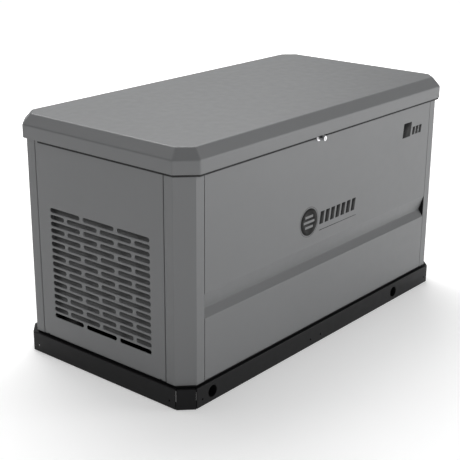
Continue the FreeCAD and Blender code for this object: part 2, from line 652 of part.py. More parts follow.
def crankcase():
    near = (DECK - DECK_HALF) * COS45
    far = (DECK + DECK_HALF) * COS45
    outline = [(-CASE_HALF, -CASE_HALF), (CASE_HALF, -CASE_HALF), (far, near), (near, far), (-near, far), (-far, near)]
    case = slab([(CASE_LEFT, y, z + CRANK_Z) for y, z in outline], X * CASE_LENGTH)
    for x in (CASE_LEFT + 8, CASE_RIGHT - 38):
        for y in (-CASE_HALF + 2, CASE_HALF - 32):
            case = case.fuse(box(x, x + 30, y, y + 30, CRADLE_TOP, CRANK_Z - CASE_HALF + 1))
    for z in range(-80, 21, 20):
        for sign in (-1, 1):
            rib = box(CASE_LEFT + 20, CASE_RIGHT - 70, min(sign * 100, sign * 119), max(sign * 100, sign * 119),
                      CRANK_Z + z, CRANK_Z + z + 4)
            case = case.fuse(rib)
    filter_boss = rod(30, (FILTER_X, -CASE_HALF + 5, FILTER_Z), -Y, 22)
    case = case.fuse(filter_boss)
    case = case.cut(rod(CASE_BORE, (CASE_LEFT + CASE_WALL, 0, CRANK_Z), X, CASE_LENGTH - 2 * CASE_WALL))
    case = case.cut(rod(JOURNAL + RUN, (CASE_LEFT - 1, 0, CRANK_Z), X, CASE_LENGTH + 2))
    for side, x in BANKS:
        case = case.cut(to_bank(rod(BORE + 1, (x, 0, 0), Z, 160), side))
    case = case.cut(filler_core(FILLER_RADIUS - 2.5, -20))
    return case.removeSplitter()


def cylinder(side, x):
    barrel = rod(BORE + 8, (x, 0, DECK), Z, BARREL_LENGTH)
    parts = [barrel, rod(BORE + 15, (x, 0, DECK), Z, 6)]
    z = DECK + 12
    while z < HEAD_BASE - FIN:
        parts.append(rod(FIN_RADIUS, (x, 0, z), Z, FIN))
        z += FIN_PITCH
    shape = fuse(parts).cut(rod(BORE, (x, 0, DECK - 1), Z, BARREL_LENGTH + 2))
    return to_bank(shape, side)


def cylinder_head(side, x):
    core = box(x - 44, x + 44, -44, 44, HEAD_BASE, HEAD_TOP)
    parts = [core]
    z = HEAD_BASE
    while z < HEAD_TOP - FIN:
        parts.append(box(x - HEAD_HALF, x + HEAD_HALF, -HEAD_HALF, HEAD_HALF, z, z + FIN + 0.5))
        z += FIN_PITCH + 1
    parts.append(box(x - 50, x + 50, -46, 46, HEAD_TOP - 6, HEAD_TOP))
    parts.append(box(x + 30, x + HEAD_HALF, -20, 20, HEAD_MID - 20, HEAD_MID + 20))
    inward = -side
    parts.append(box(x - 20, x + 20, min(inward * 30, inward * HEAD_HALF), max(inward * 30, inward * HEAD_HALF),
                     HEAD_MID - 20, HEAD_MID + 20))
    shape = fuse(parts)
    port = rod(PIPE - PIPE_WALL, (x + 20, 0, HEAD_MID), X, HEAD_HALF)
    inlet = rod(12, (x, 0, HEAD_MID), Y * inward, HEAD_HALF + 1)
    plug = rod(5.2, (x, side * (HEAD_HALF - 12), HEAD_MID), Y * side, 20)
    seat = rod(11, (x, side * (HEAD_HALF - 12), HEAD_MID), Y * side, 20)
    return to_bank(shape.cut(port).cut(inlet).cut(plug).cut(seat), side)


def rocker_cover(x, side):
    shell = box(x - 48, x + 48, -42, 42, HEAD_TOP, HEAD_TOP + ROCKER_HEIGHT)
    shell = shell.makeFillet(8, [e for e in shell.Edges if abs(e.Vertexes[0].Z - e.Vertexes[1].Z) > 1])
    hollow = box(x - 45, x + 45, -39, 39, HEAD_TOP, HEAD_TOP + ROCKER_HEIGHT - 3)
    return to_bank(shell.cut(hollow), side)


def piston(side, x):
    crown = rod(BORE - 0.2, (x, 0, DECK + 18), Z, 40)
    return to_bank(crown.cut(rod(BORE - 5, (x, 0, DECK + 17), Z, 33)), side)


def crankshaft():
    left = rod(JOURNAL, (CASE_LEFT - 78, 0, CRANK_Z), X, 78 + 56)
    web_a = rod(60, (CASE_LEFT + 56, 0, CRANK_Z), X, 14)
    pin = rod(18, (CASE_LEFT + 70, 0, CRANK_Z + 35), X, 80)
    web_b = rod(60, (CASE_LEFT + 150, 0, CRANK_Z), X, 14)
    right = rod(JOURNAL, (CASE_LEFT + 164, 0, CRANK_Z), X, CASE_RIGHT + 14 - CASE_LEFT - 164)
    return fuse([left, web_a, pin, web_b, right])


def flywheel():
    x = CASE_LEFT - 46
    wheel = rod(FLYWHEEL_RADIUS, (x, 0, CRANK_Z), X, 30)
    wheel = wheel.cut(rod(FLYWHEEL_RADIUS - 18, (x + 10, 0, CRANK_Z), X, 30))
    hub = rod(40, (x, 0, CRANK_Z), X, 36)
    wheel = wheel.fuse(hub)
    return wheel.cut(rod(JOURNAL + RUN, (x - 1, 0, CRANK_Z), X, 60))


def bladed(x, direction, blades, inner, outer, depth, pitch):
    """Fan disc with flat blades standing on its face."""
    disc = rod(outer, (x, 0, CRANK_Z), X, 4)
    start = x + 4 if direction > 0 else x - depth
    parts = [disc]
    for i in range(blades):
        blade = box(start, start + depth, inner, outer - 2, -1.5, 1.5)
        blade.rotate(V(0, inner, 0), X, pitch)
        blade.rotate(V(0, 0, 0), X, i * 360.0 / blades)
        parts.append(moved(blade, 0, 0, CRANK_Z))
    return fuse(parts).common(rod(outer, (x - depth - 1, 0, CRANK_Z), X, 2 * depth + 10))


def blower_housing():
    left = CASE_LEFT - BLOWER_LENGTH
    drum = pipe(BLOWER_RADIUS, BLOWER_RADIUS - 2, (left, 0, CRANK_Z), X, BLOWER_LENGTH)
    face = pipe(BLOWER_RADIUS, 95, (left, 0, CRANK_Z), X, 2)
    lip = pipe(98, 95, (left - 10, 0, CRANK_Z), X, 12)
    back = pipe(BLOWER_RADIUS, 98, (CASE_LEFT - 2, 0, CRANK_Z), X, 2)
    for side in (-1, 1):
        window = box(CASE_LEFT - 3, CASE_LEFT + 1, -45, 45, 128, 158)
        back = back.cut(to_bank(window, side))
    return fuse([drum, face, lip, back])


def ignition_coil(side):
    """Coil with its legs a small air gap off the flywheel rim, on an arm from the back plate."""
    rim = FLYWHEEL_RADIUS + 0.4
    legs = box(CASE_LEFT - 40, CASE_LEFT - 28, -24, 24, 127.5, 139)
    body_block = box(CASE_LEFT - 44, CASE_LEFT - 24, -14, 14, 133, 155)
    arm = box(CASE_LEFT - 28, CASE_LEFT - 2, 14, 24, 127.5, 135)
    shape = fuse([legs, body_block, arm])
    shape = shape.cut(rod(rim, (CASE_LEFT - 60, 0, 0), X, 80))
    leaned = turned(shape, (0, 0, 0), X, -45 * side + 30 * side)
    return moved(leaned, 0, 0, CRANK_Z)


# ---- oil filler, filter and starter ----
def filler_core(radius, start):
    base_point = V(*FILLER_START) + FILLER_DIRECTION * start
    return rod(radius, (base_point.x, base_point.y, base_point.z), FILLER_DIRECTION, DIPSTICK_TUBE - start)


def oil_parts():
    case = crankcase()
    outside = filler_core(FILLER_RADIUS, -14).cut(filler_core(FILLER_RADIUS - 2.5, -20))
    tube = max(outside.cut(case).Solids, key=lambda s: s.Volume)
    save("crankcase", case, tube)
    top = V(*FILLER_START) + FILLER_DIRECTION * DIPSTICK_TUBE
    cap = rod(15, (top.x, top.y, top.z), FILLER_DIRECTION, 12)
    grip = rod(9, (top.x, top.y, top.z), FILLER_DIRECTION, 24)
    foot = top - FILLER_DIRECTION * 125
    blade = rod(3, (foot.x, foot.y, foot.z), FILLER_DIRECTION, 130)
    guide = top - FILLER_DIRECTION * 18
    bung = rod(FILLER_RADIUS - 2.5 - 0.3, (guide.x, guide.y, guide.z), FILLER_DIRECTION, 18)
    save("dipstick", fuse([cap, grip, blade, bung]))
    canister = rod(38, (FILTER_X, -CASE_HALF - 17, FILTER_Z), -Y, 78)
    canister = canister.makeFillet(8, [canister.Edges[0]])
    save("oil_filter", canister)
    starter_y = 155.0
    starter_z = CRANK_Z - 40
    motor = rod(33, (CASE_LEFT, starter_y, starter_z), X, 120)
    nose = rod(20, (CASE_LEFT + 120, starter_y, starter_z), X, 10)
    stud = rod(4, (CASE_LEFT + 40, starter_y, starter_z + 30), Z, 15)
    save("starter_motor", fuse([motor, nose, stud]))


def engine():
    bores = [cylinder(side, x) for side, x in BANKS]
    save("cylinders", *bores, *[piston(side, x) for side, x in BANKS])
    save("cylinder_heads", *[cylinder_head(side, x) for side, x in BANKS])
    save("rocker_covers", *[rocker_cover(x, side) for side, x in BANKS])
    save("crankshaft", crankshaft())
    fan = bladed(CASE_LEFT - 50, -1, 12, 70.0, 118.0, 34.0, 25.0)
    save("flywheel", flywheel(), fan.cut(rod(JOURNAL, (CASE_LEFT - 100, 0, CRANK_Z), X, 80)))
    save("blower_housing", blower_housing(), ignition_coil(-1), ignition_coil(1))


# ---- intake ----
def intake():
    runners = []
    for side, x in BANKS:
        reach = HEAD_HALF
        out = V(0, -side * COS45, COS45)
        port = V(x, side * PORT_Y, PORT_Z) + V(0, -side * reach * COS45, reach * COS45)
        knee = port + out * ((MIXER_BOTTOM + 16 - port.z) / COS45)
        end = (x, side * 25.0, knee.z)
        points = [(port.x, port.y, port.z), (knee.x, knee.y, knee.z), end]
        runners.append(swept(points, 22, 14).cut(swept(points, 22, 11.5)))
    left = CRANK_X - 36
    right = CRANK_X + 36
    mixer = box(left, right, -25, 25, MIXER_BOTTOM, MIXER_TOP)
    mixer = mixer.cut(rod(18, (CRANK_X, 0, MIXER_BOTTOM - 1), Z, 60))
    boss = rod(9, (right, 0, MIXER_TOP - 18), X, 10)
    shaft_boss = rod(8, (left, 0, MIXER_TOP - 18), -X, 6)
    mixer = mixer.fuse(boss).fuse(shaft_boss).cut(rod(4 + RUN, (left - 10, 0, MIXER_TOP - 18), X, 14))
    save("intake_manifold", mixer, *runners)
    spindle = rod(4, (left - 14, 0, MIXER_TOP - 18), X, 17)
    arm = box(left - 12, left - 9, -6, 6, MIXER_TOP - 50, MIXER_TOP - 12)
    save("throttle_arm", fuse([spindle, arm]))
    floor = pipe(82, 18, (CRANK_X, 0, MIXER_TOP), Z, 5)
    rim = pipe(82, 79, (CRANK_X, 0, MIXER_TOP), Z, 14)
    stud = rod(3, (CRANK_X, 22, MIXER_TOP), Z, 72)
    tray = fuse([floor, rim, stud])
    element = pipe(70, 48, (CRANK_X, 0, MIXER_TOP + 5), Z, 52)
    dome = rod(86, (CRANK_X, 0, MIXER_TOP + 4), Z, 60)
    dome = dome.makeFillet(14, [e for e in dome.Edges if e.BoundBox.ZMin > MIXER_TOP + 50])
    hollow = rod(83, (CRANK_X, 0, MIXER_TOP + 3), Z, 54.5)
    dome = dome.cut(hollow).cut(rod(3.3, (CRANK_X, 22, MIXER_TOP), Z, 80))
    save("air_cleaner", tray, element, dome)


# ---- exhaust ----
def exhaust():
    muffler_x = FIREWALL_X + 124.0
    muffler = rod(MUFFLER_RADIUS, (muffler_x, -MUFFLER_LENGTH / 2, MUFFLER_Z), Y, MUFFLER_LENGTH)
    pipes = []
    for side, x in BANKS:
        start = x + HEAD_HALF
        y = side * PORT_Y
        tube = pipe(PIPE, PIPE - PIPE_WALL, (start, y, PORT_Z), X, muffler_x - start)
        flange = pipe(26, PIPE - PIPE_WALL, (start, y, PORT_Z), X, 7)
        pipes.append(fuse([tube, flange]).cut(muffler))
    inner = rod(MUFFLER_RADIUS - 2, (muffler_x, -MUFFLER_LENGTH / 2 + 2, MUFFLER_Z), Y, MUFFLER_LENGTH - 4)
    beads = [pipe(MUFFLER_RADIUS + 3, MUFFLER_RADIUS - 1, (muffler_x, y, MUFFLER_Z), Y, 5)
             for y in (-MUFFLER_LENGTH / 2, MUFFLER_LENGTH / 2 - 5)]
    end = (BODY_X + 4, 0, TAIL_Z)
    bend = [(muffler_x, 0, MUFFLER_Z - MUFFLER_RADIUS + 20), (muffler_x, 0, TAIL_Z), end]
    tail = swept(bend, 45, TAIL_RADIUS).cut(swept(bend, 45, TAIL_RADIUS - 2))
    save("exhaust_pipes", *pipes, tail.cut(muffler))
    can = fuse([muffler] + beads).cut(inner)
    saddles = []
    for y in (-120, 110):
        saddle = box(muffler_x - 35, muffler_x + 35, y, y + 3, FLOOR_TOP, MUFFLER_Z - 30)
        foot = box(muffler_x - 35, muffler_x + 35, y, y + 25, FLOOR_TOP, FLOOR_TOP + 3)
        saddles.append(fuse([saddle, foot]).cut(muffler))
    save("muffler", can, *saddles)
    depth = BODY_Y - 31
    top = BODY_TOP - SHEET - 24
    wall = box(FIREWALL_X, FIREWALL_X + SHEET, -depth, depth, FLOOR_TOP, top)
    foot = box(FIREWALL_X, FIREWALL_X + 20, -depth, depth, FLOOR_TOP, FLOOR_TOP + SHEET)
    wall = fuse([wall, foot])
    for side in (-1, 1):
        wall = wall.cut(rod(PIPE + 4, (FIREWALL_X - 1, side * PORT_Y, PORT_Z), X, 10))
    wall = wall.cut(rod(95, (FIREWALL_X - 1, 0, CRANK_Z - 20), X, 10))
    save("firewall", wall)


# ---- alternator ----
def alternator():
    stator = pipe(STATOR_RADIUS, STATOR_BORE, (STATOR_LEFT, 0, CRANK_Z), X, STATOR_LENGTH)
    drum = rod(STATOR_RADIUS - 2, (STATOR_LEFT - 1, 0, CRANK_Z), X, STATOR_LENGTH + 2)
    feet = []
    for x in (STATOR_LEFT + 20, STATOR_RIGHT - 60):
        for y in (-105, 65):
            feet.append(box(x, x + 40, y, y + 40, CRADLE_TOP, CRANK_Z - 40).cut(drum))
    feet = [max(foot.Solids, key=lambda s: s.Volume) for foot in feet]
    box_top = CRANK_Z + STATOR_RADIUS + 36
    terminal = box(STATOR_LEFT + 14, STATOR_LEFT + 84, -35, 35, CRANK_Z + 90, box_top).cut(drum)
    save("alternator_stator", fuse([stator] + feet + [terminal]))
    shell = pipe(STATOR_RADIUS, STATOR_RADIUS - 8, (CASE_RIGHT, 0, CRANK_Z), X, BELL_LENGTH)
    flange = pipe(STATOR_RADIUS, 70, (CASE_RIGHT, 0, CRANK_Z), X, 5)
    for i in range(6):
        window = box(CASE_RIGHT + 10, STATOR_LEFT - 8, -25, 25, 100, 130)
        window.rotate(V(0, 0, 0), X, i * 60)
        shell = shell.cut(moved(window, 0, 0, CRANK_Z))
    bell = fuse([shell, flange])
    end = rod(STATOR_RADIUS, (STATOR_RIGHT, 0, CRANK_Z), X, END_BELL)
    end = end.cut(rod(STATOR_RADIUS - 10, (STATOR_RIGHT - 1, 0, CRANK_Z), X, 13))
    for i in range(8):
        vent = box(STATOR_RIGHT, BELL_RIGHT + 1, -12, 12, 55, 92)
        vent.rotate(V(0, 0, 0), X, i * 45)
        end = end.cut(moved(vent, 0, 0, CRANK_Z))
    end = end.cut(rod(15 + RUN, (STATOR_RIGHT - 1, 0, CRANK_Z), X, 60))
    cover = rod(48, (BELL_RIGHT, 0, CRANK_Z), X, 30).cut(rod(45, (BELL_RIGHT - 1, 0, CRANK_Z), X, 28))
    save("alternator_bells", bell, end, cover)
    core = rod(STATOR_BORE - ROTOR_GAP, (STATOR_LEFT + 10, 0, CRANK_Z), X, STATOR_LENGTH - 20)
    shaft = rod(17, (CASE_RIGHT + 14, 0, CRANK_Z), X, STATOR_RIGHT - CASE_RIGHT - 14 + 5)
    tip = rod(15, (STATOR_RIGHT, 0, CRANK_Z), X, END_BELL + 14)
    for i in range(4):
        channel = box(STATOR_LEFT, STATOR_RIGHT, -16, 16, 60, 100)
        channel.rotate(V(0, 0, 0), X, 45 + i * 90)
        core = core.cut(moved(channel, 0, 0, CRANK_Z))
    fan = bladed(CASE_RIGHT + 16, 1, 14, 55.0, 102.0, 16.0, 15.0)
    fan = fan.cut(rod(17, (CASE_RIGHT, 0, CRANK_Z), X, 80))
    save("alternator_rotor", fuse([core, shaft, tip]), fan)


# ---- fuel ----
def fuel():
    nipple = pipe(NIPPLE, 9, (FUEL_X, BODY_Y - 48, FUEL_Z), Y, 60)
    collar = pipe(NIPPLE + 8, NIPPLE, (FUEL_X, BODY_Y, FUEL_Z), Y, 4)
    inlet = fuse([nipple, collar])
    valve_y = BODY_Y - 63
    valve = box(FUEL_X - 18, FUEL_X + 18, valve_y - 15, valve_y + 15, FUEL_Z - 17, FUEL_Z + 17)
    seat = rod(4 + RUN, (FUEL_X - 5, valve_y, FUEL_Z), -X, 30)
    neck = rod(9, (FUEL_X - 18, valve_y, FUEL_Z), -X, 8)
    valve = valve.fuse(neck).cut(seat)
    stem = rod(4, (FUEL_X - 6, valve_y, FUEL_Z), -X, 23)
    lever = box(FUEL_X - 29.3, FUEL_X - 26.3, valve_y - 70, valve_y + 8, FUEL_Z - 8, FUEL_Z + 8)
    save("fuel_valve_lever", fuse([stem, lever]))
    reg_y = BODY_Y - 101
    reg_z = FUEL_Z + 130
    points = [(FUEL_X, valve_y - 15, FUEL_Z), (FUEL_X, reg_y - 6, FUEL_Z), (FUEL_X, reg_y - 6, reg_z - 50)]
    body_disc = rod(50, (FUEL_X, reg_y - 22, reg_z), Y, 44)
    dome = rod(30, (FUEL_X, reg_y - 34, reg_z), Y, 12)
    coil = box(FUEL_X - 20, FUEL_X + 20, reg_y - 18, reg_y + 18, reg_z + 40, reg_z + 78)
    regulator = fuse([body_disc, dome, coil])
    feed = swept(points, 14, 8).cut(body_disc)
    arm = box(FUEL_X - 18, FUEL_X + 18, reg_y + 22, BODY_Y - SHEET, reg_z - 2, reg_z + 2)
    foot = box(FUEL_X - 18, FUEL_X + 18, BODY_Y - SHEET - 3, BODY_Y - SHEET, reg_z - 30, reg_z + 30)
    face = box(FUEL_X - 18, FUEL_X + 18, reg_y + 22, reg_y + 25, reg_z - 30, reg_z + 30)
    save("fuel_train", inlet, valve, feed, regulator, fuse([arm, foot, face]))
    height = MIXER_TOP - 18
    right = CRANK_X + 46
    hose = [(FUEL_X, reg_y, reg_z + 78), (FUEL_X, reg_y, height), (CRANK_X + 140, 0, height), (right, 0, height)]
    save("fuel_hose", swept(hose, 50, 8))


# ---- battery and controls ----
def battery():
    length, width, height = BATTERY
    left = -BODY_X + 62
    front = -BODY_Y + 41
    low = FLOOR_TOP + BATTERY_STAND
    case = box(left, left + length, front, front + width, low, low + height)
    case = case.makeFillet(5, [e for e in case.Edges if abs(e.Vertexes[0].Z - e.Vertexes[1].Z) > 1])
    top_lid = box(left + 4, left + length - 4, front + 4, front + width - 4, low + height, low + height + 12)
    posts = [rod(8, (left + inset, front + width - 32, low + height + 12), Z, 14) for inset in (32, length - 32)]
    tray = box(left - 6, left + length + 6, front - 6, front + width + 6, FLOOR_TOP, low + 22)
    tray = tray.cut(box(left - 3, left + length + 3, front - 3, front + width + 3, low, low + 23))
    save("battery", fuse([case, top_lid] + posts), tray)


def controls():
    left = -BODY_X + 67
    back = BODY_Y - SHEET - 16
    high = BODY_TOP - SHEET - 21
    low = high - BOX_HEIGHT
    front = back - BOX_DEPTH
    slope_y = front + 90
    slope_z = high - 88
    outline = [(back, low), (back, high), (slope_y, high), (front, slope_z), (front, low)]
    case = slab([(left, y, z) for y, z in outline], X * BOX_LENGTH)
    inner = slab([(left + 2, y, z) for y, z in
                  ((back - 2, low + 2), (back - 2, high - 2), (slope_y + 0.8, high - 2),
                   (front + 2, slope_z - 1), (front + 2, low + 2))], X * (BOX_LENGTH - 4))
    case = case.cut(inner)
    run = math.hypot(90, 88)
    up = V(0, 90 / run, 88 / run)
    out = V(0, -88 / run, 90 / run)
    centre = V(left + BOX_LENGTH / 2, (front + slope_y) / 2, (slope_z + high) / 2)

    def on_panel(u0, u1, v0, v1, n0, n1):
        corners = [centre + X * u + up * v + out * n0 for u, v in ((u0, v0), (u1, v0), (u1, v1), (u0, v1))]
        return slab([(c.x, c.y, c.z) for c in corners], out * (n1 - n0))

    def peg(u, v, radius, n0, n1):
        start = centre + X * u + up * v + out * n0
        return rod(radius, (start.x, start.y, start.z), out, n1 - n0)

    case = case.cut(on_panel(-80, 80, -50, 50, -6, 6))
    panel = on_panel(-92, 92, -58, 58, 0, 3)
    buttons = {"button_off": -62.0, "button_auto": -34.0, "button_manual": -6.0}
    for name, u in buttons.items():
        panel = panel.cut(peg(u, -22, BUTTON_RADIUS + BUTTON_GAP, -1, 5))
        stem = peg(u, -22, BUTTON_RADIUS, -1.5, 5.5)
        skirt = peg(u, -22, BUTTON_RADIUS + 2, -3.5, -1.5)
        save(name, fuse([stem, skirt]))
    panel = panel.cut(on_panel(-70, 2, 4, 44, -1, 5))
    display = on_panel(-69.7, 1.7, 4.3, 43.7, 0, 2)
    breaker = on_panel(26, 62, -30, 32, -32, 5)
    pivot = centre + X * 25
    slot_cut = on_panel(36, 52, -18, 18, -14, 6)
    panel_hole = on_panel(25.7, 62.3, -30.3, 32.3, -1, 5)
    panel = panel.fuse(on_panel(-70, 2, 4, 44, -1.5, 0)).cut(panel_hole)
    save("control_panel", panel, display)
    save("breaker", breaker.cut(slot_cut))
    barrel = rod(10, (pivot.x + 11.4, pivot.y, pivot.z), X, 15.2)
    lever = on_panel(38.5, 49.5, -3, 3, 0, 16)
    toggle = fuse([barrel, lever])
    save("breaker_toggle", toggle)
    save("control_box", case.cut(on_panel(20, 66, -36, 38, -40, 6)))


# ---- leads ----
def leads():
    length, width, height = BATTERY
    left = -BODY_X + 62
    post_y = -BODY_Y + 41 + width - 32
    post_z = FLOOR_TOP + 4 + height + 26
    gap_x = CASE_LEFT - BLOWER_LENGTH - 22
    stud_y = 155.0
    stud_z = CRANK_Z - 40 + 45
    plus = [(left + length - 32, post_y, post_z), (left + length - 32, post_y, post_z + 42),
            (gap_x, post_y + 60, post_z + 42), (gap_x, stud_y + 60, post_z + 42),
            (CASE_LEFT + 10, stud_y + 60, stud_z + 32), (CASE_LEFT + 40, stud_y, stud_z + 32),
            (CASE_LEFT + 40, stud_y, stud_z)]
    cable = swept(plus, 12, 5)
    back = BODY_Y - SHEET - 16
    box_right = -BODY_X + 67 + BOX_LENGTH
    harness_y = back - 28
    harness_z = BODY_TOP - SHEET - 21 - 110
    top = CRANK_Z + STATOR_RADIUS + 36
    cross_z = PORT_Z + PIPE + 40
    harness = [(box_right, harness_y, harness_z), (STATOR_LEFT - 20, harness_y, harness_z),
               (STATOR_LEFT + 49, harness_y - 80, cross_z), (STATOR_LEFT + 49, 0, cross_z),
               (STATOR_LEFT + 49, 0, top)]
    save("wiring", cable, swept(harness, 30, 8))


def foam():
    low = PANEL_BOTTOM + 6
    high = LOCK_Z - 26
    face = -BODY_Y + GROOVE_DEPTH + SHEET + 0.5
    pads = [box(-PANEL_X + 6, FIREWALL_X - 4, face, face + 11, low, high),
            box(FIREWALL_X + 24, PANEL_X - 6, face, face + 11, low, high)]
    save("panel_foam", *pads)


os.makedirs("parts", exist_ok=True)
base()
body()
lid()
hinges()
lock()
struts()
engine_bed()
engine()
oil_parts()
intake()
exhaust()
alternator()
fuel()
battery()
controls()
leads()
foam()
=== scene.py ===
import math

import bmesh
import bpy
from mathutils import Matrix, Vector


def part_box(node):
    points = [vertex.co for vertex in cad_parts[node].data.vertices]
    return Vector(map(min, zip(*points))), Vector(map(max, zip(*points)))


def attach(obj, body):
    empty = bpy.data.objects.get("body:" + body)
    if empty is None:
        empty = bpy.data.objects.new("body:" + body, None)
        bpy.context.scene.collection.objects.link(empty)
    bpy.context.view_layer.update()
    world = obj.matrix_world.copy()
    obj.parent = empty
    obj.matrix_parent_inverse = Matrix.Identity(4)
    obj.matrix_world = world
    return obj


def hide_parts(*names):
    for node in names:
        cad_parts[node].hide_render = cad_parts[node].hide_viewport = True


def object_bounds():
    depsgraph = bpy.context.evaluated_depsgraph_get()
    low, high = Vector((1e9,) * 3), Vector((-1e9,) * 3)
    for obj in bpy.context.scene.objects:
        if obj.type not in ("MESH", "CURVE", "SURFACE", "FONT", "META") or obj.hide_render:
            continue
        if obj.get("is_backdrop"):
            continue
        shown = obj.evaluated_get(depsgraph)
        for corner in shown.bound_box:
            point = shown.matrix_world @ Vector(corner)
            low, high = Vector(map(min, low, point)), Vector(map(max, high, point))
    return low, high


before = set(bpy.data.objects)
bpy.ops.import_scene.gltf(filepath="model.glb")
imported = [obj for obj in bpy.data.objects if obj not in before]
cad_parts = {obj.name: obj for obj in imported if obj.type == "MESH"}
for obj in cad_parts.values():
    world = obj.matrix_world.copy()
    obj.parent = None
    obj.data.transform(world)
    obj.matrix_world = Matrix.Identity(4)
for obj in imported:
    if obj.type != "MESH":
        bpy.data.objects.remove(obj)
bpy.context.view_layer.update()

scene = bpy.context.scene
scene.view_settings.view_transform = "Standard"
MM = 0.001
UP = Vector((0, 0, 1))
CORNERS = ((-1, -1), (-1, 1), (1, -1), (1, 1))

# ---- camera ----
# A long lens looking down over the front left corner, so that the lid, the front and the intake
# end all show.
EYE = Vector((-2.4051, -1.9405, 1.3517))
YAW, PITCH, ROLL = 0.8772, 0.3391, 0.0069
ahead = Vector((math.cos(PITCH) * math.sin(YAW), math.cos(PITCH) * math.cos(YAW), -math.sin(PITCH)))
level = ahead.cross(UP).normalized()
above = level.cross(ahead)
right = level * math.cos(ROLL) + above * math.sin(ROLL)
top = above * math.cos(ROLL) - level * math.sin(ROLL)
camera = bpy.data.objects.new("camera", bpy.data.cameras.new("camera"))
camera.data.lens = 84.85
camera.data.sensor_width = 36.0
camera.data.clip_end = 200.0
turn = Matrix((right, top, -ahead)).transposed().to_4x4()
camera.matrix_world = Matrix.Translation(EYE) @ turn
scene.collection.objects.link(camera)
scene.camera = camera


# ---- studio ----
# A pale floor that runs to a lit white horizon, a dim white room, one wide soft box overhead and
# behind, a key behind the left corner, and three fills in front that lift the panel and the post.
class Paint:
    """A node material laid out on the piece's own coordinates."""

    def __init__(self, name):
        self.made = bpy.data.materials.new(name)
        self.made.use_nodes = True
        self.nodes = self.made.node_tree.nodes
        self.shader = self.nodes["Principled BSDF"]
        self.place = self.nodes.new("ShaderNodeTexCoord").outputs["Object"]

    def set(self, socket, value):
        self.shader.inputs[socket].default_value = value

    def link(self, value, socket):
        """Drive SOCKET from VALUE; a name stands for a socket on the main shader."""
        socket = self.shader.inputs[socket] if isinstance(socket, str) else socket
        self.made.node_tree.links.new(value, socket)

    def noise(self, scale, detail=3.0, rough=0.5):
        cloud = self.nodes.new("ShaderNodeTexNoise")
        cloud.inputs["Scale"].default_value = scale
        cloud.inputs["Detail"].default_value = detail
        cloud.inputs["Roughness"].default_value = rough
        self.link(self.place, cloud.inputs["Vector"])
        return cloud.outputs["Fac"]

    def ramp(self, socket, value, stops):
        """Drive SOCKET from VALUE; STOPS are (position, grey or colour)."""
        ramp = self.nodes.new("ShaderNodeValToRGB")
        while len(ramp.color_ramp.elements) < len(stops):
            ramp.color_ramp.elements.new(0.5)
        for element, (at, tone) in zip(ramp.color_ramp.elements, stops):
            element.position = at
            tone = (tone,) * 3 if isinstance(tone, float) else tone
            element.color = (*tone, 1.0)
        self.link(value, ramp.inputs["Fac"])
        self.link(ramp.outputs["Color"], socket)

    def vary(self, socket, stops, *cloud):
        """Drive SOCKET from noise; CLOUD is its scale, detail and roughness."""
        self.ramp(socket, self.noise(*cloud), stops)

    def grain(self, value, strength, depth):
        bump = self.nodes.new("ShaderNodeBump")
        bump.inputs["Strength"].default_value = strength
        bump.inputs["Distance"].default_value = depth
        self.link(value, bump.inputs["Height"])
        self.link(bump.outputs["Normal"], "Normal")

    def coordinate(self, axis):
        apart = self.nodes.new("ShaderNodeSeparateXYZ")
        self.link(self.place, apart.inputs["Vector"])
        return apart.outputs[axis]

    def along(self, axis, low, high):
        """How far a point lies along AXIS, from 0 at LOW to 1 at HIGH."""
        level = self.nodes.new("ShaderNodeMapRange")
        level.inputs["From Min"].default_value = low
        level.inputs["From Max"].default_value = high
        self.link(self.coordinate(axis), level.inputs["Value"])
        return level.outputs["Result"]


floor_paint = Paint("studio_floor")
floor_paint.vary("Base Color", [(0.3, 0.79), (0.7, 0.81)], 0.8)
floor_paint.set("Roughness", 0.9)
floor_paint.set("Specular IOR Level", 0.1)
reach = floor_paint.nodes.new("ShaderNodeVectorMath")
reach.operation = "LENGTH"
floor_paint.link(floor_paint.place, reach.inputs[0])
horizon = floor_paint.nodes.new("ShaderNodeMapRange")
horizon.interpolation_type = "SMOOTHSTEP"
for socket, value in (("From Min", 1.5), ("From Max", 3.6), ("To Min", 0.38), ("To Max", 0.75)):
    horizon.inputs[socket].default_value = value
floor_paint.link(reach.outputs["Value"], horizon.inputs["Value"])
floor_paint.set("Emission Color", (1.0, 1.0, 1.0, 1.0))
floor_paint.link(horizon.outputs["Result"], "Emission Strength")
bm = bmesh.new()
bmesh.ops.create_grid(bm, x_segments=1, y_segments=1, size=60.0)
floor_mesh = bpy.data.meshes.new("studio_floor")
bm.to_mesh(floor_mesh)
bm.free()
floor = bpy.data.objects.new("studio_floor", floor_mesh)
floor_mesh.materials.append(floor_paint.made)
scene.collection.objects.link(floor)
floor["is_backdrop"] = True

world = bpy.data.worlds.new("white_room")
world.use_nodes = True
glow = world.node_tree.nodes["Background"]
glow.inputs["Color"].default_value = (1.0, 1.0, 1.0, 1.0)
glow.inputs["Strength"].default_value = 0.17
scene.world = world


def soft_box(name, place, target, width, watts):
    lamp = bpy.data.lights.new(name, "AREA")
    lamp.shape = "SQUARE"
    lamp.size = width
    lamp.energy = watts
    made = bpy.data.objects.new(name, lamp)
    scene.collection.objects.link(made)
    made.location = place
    made.rotation_mode = "QUATERNION"
    made.rotation_quaternion = (Vector(target) - Vector(place)).to_track_quat("-Z", "Y")


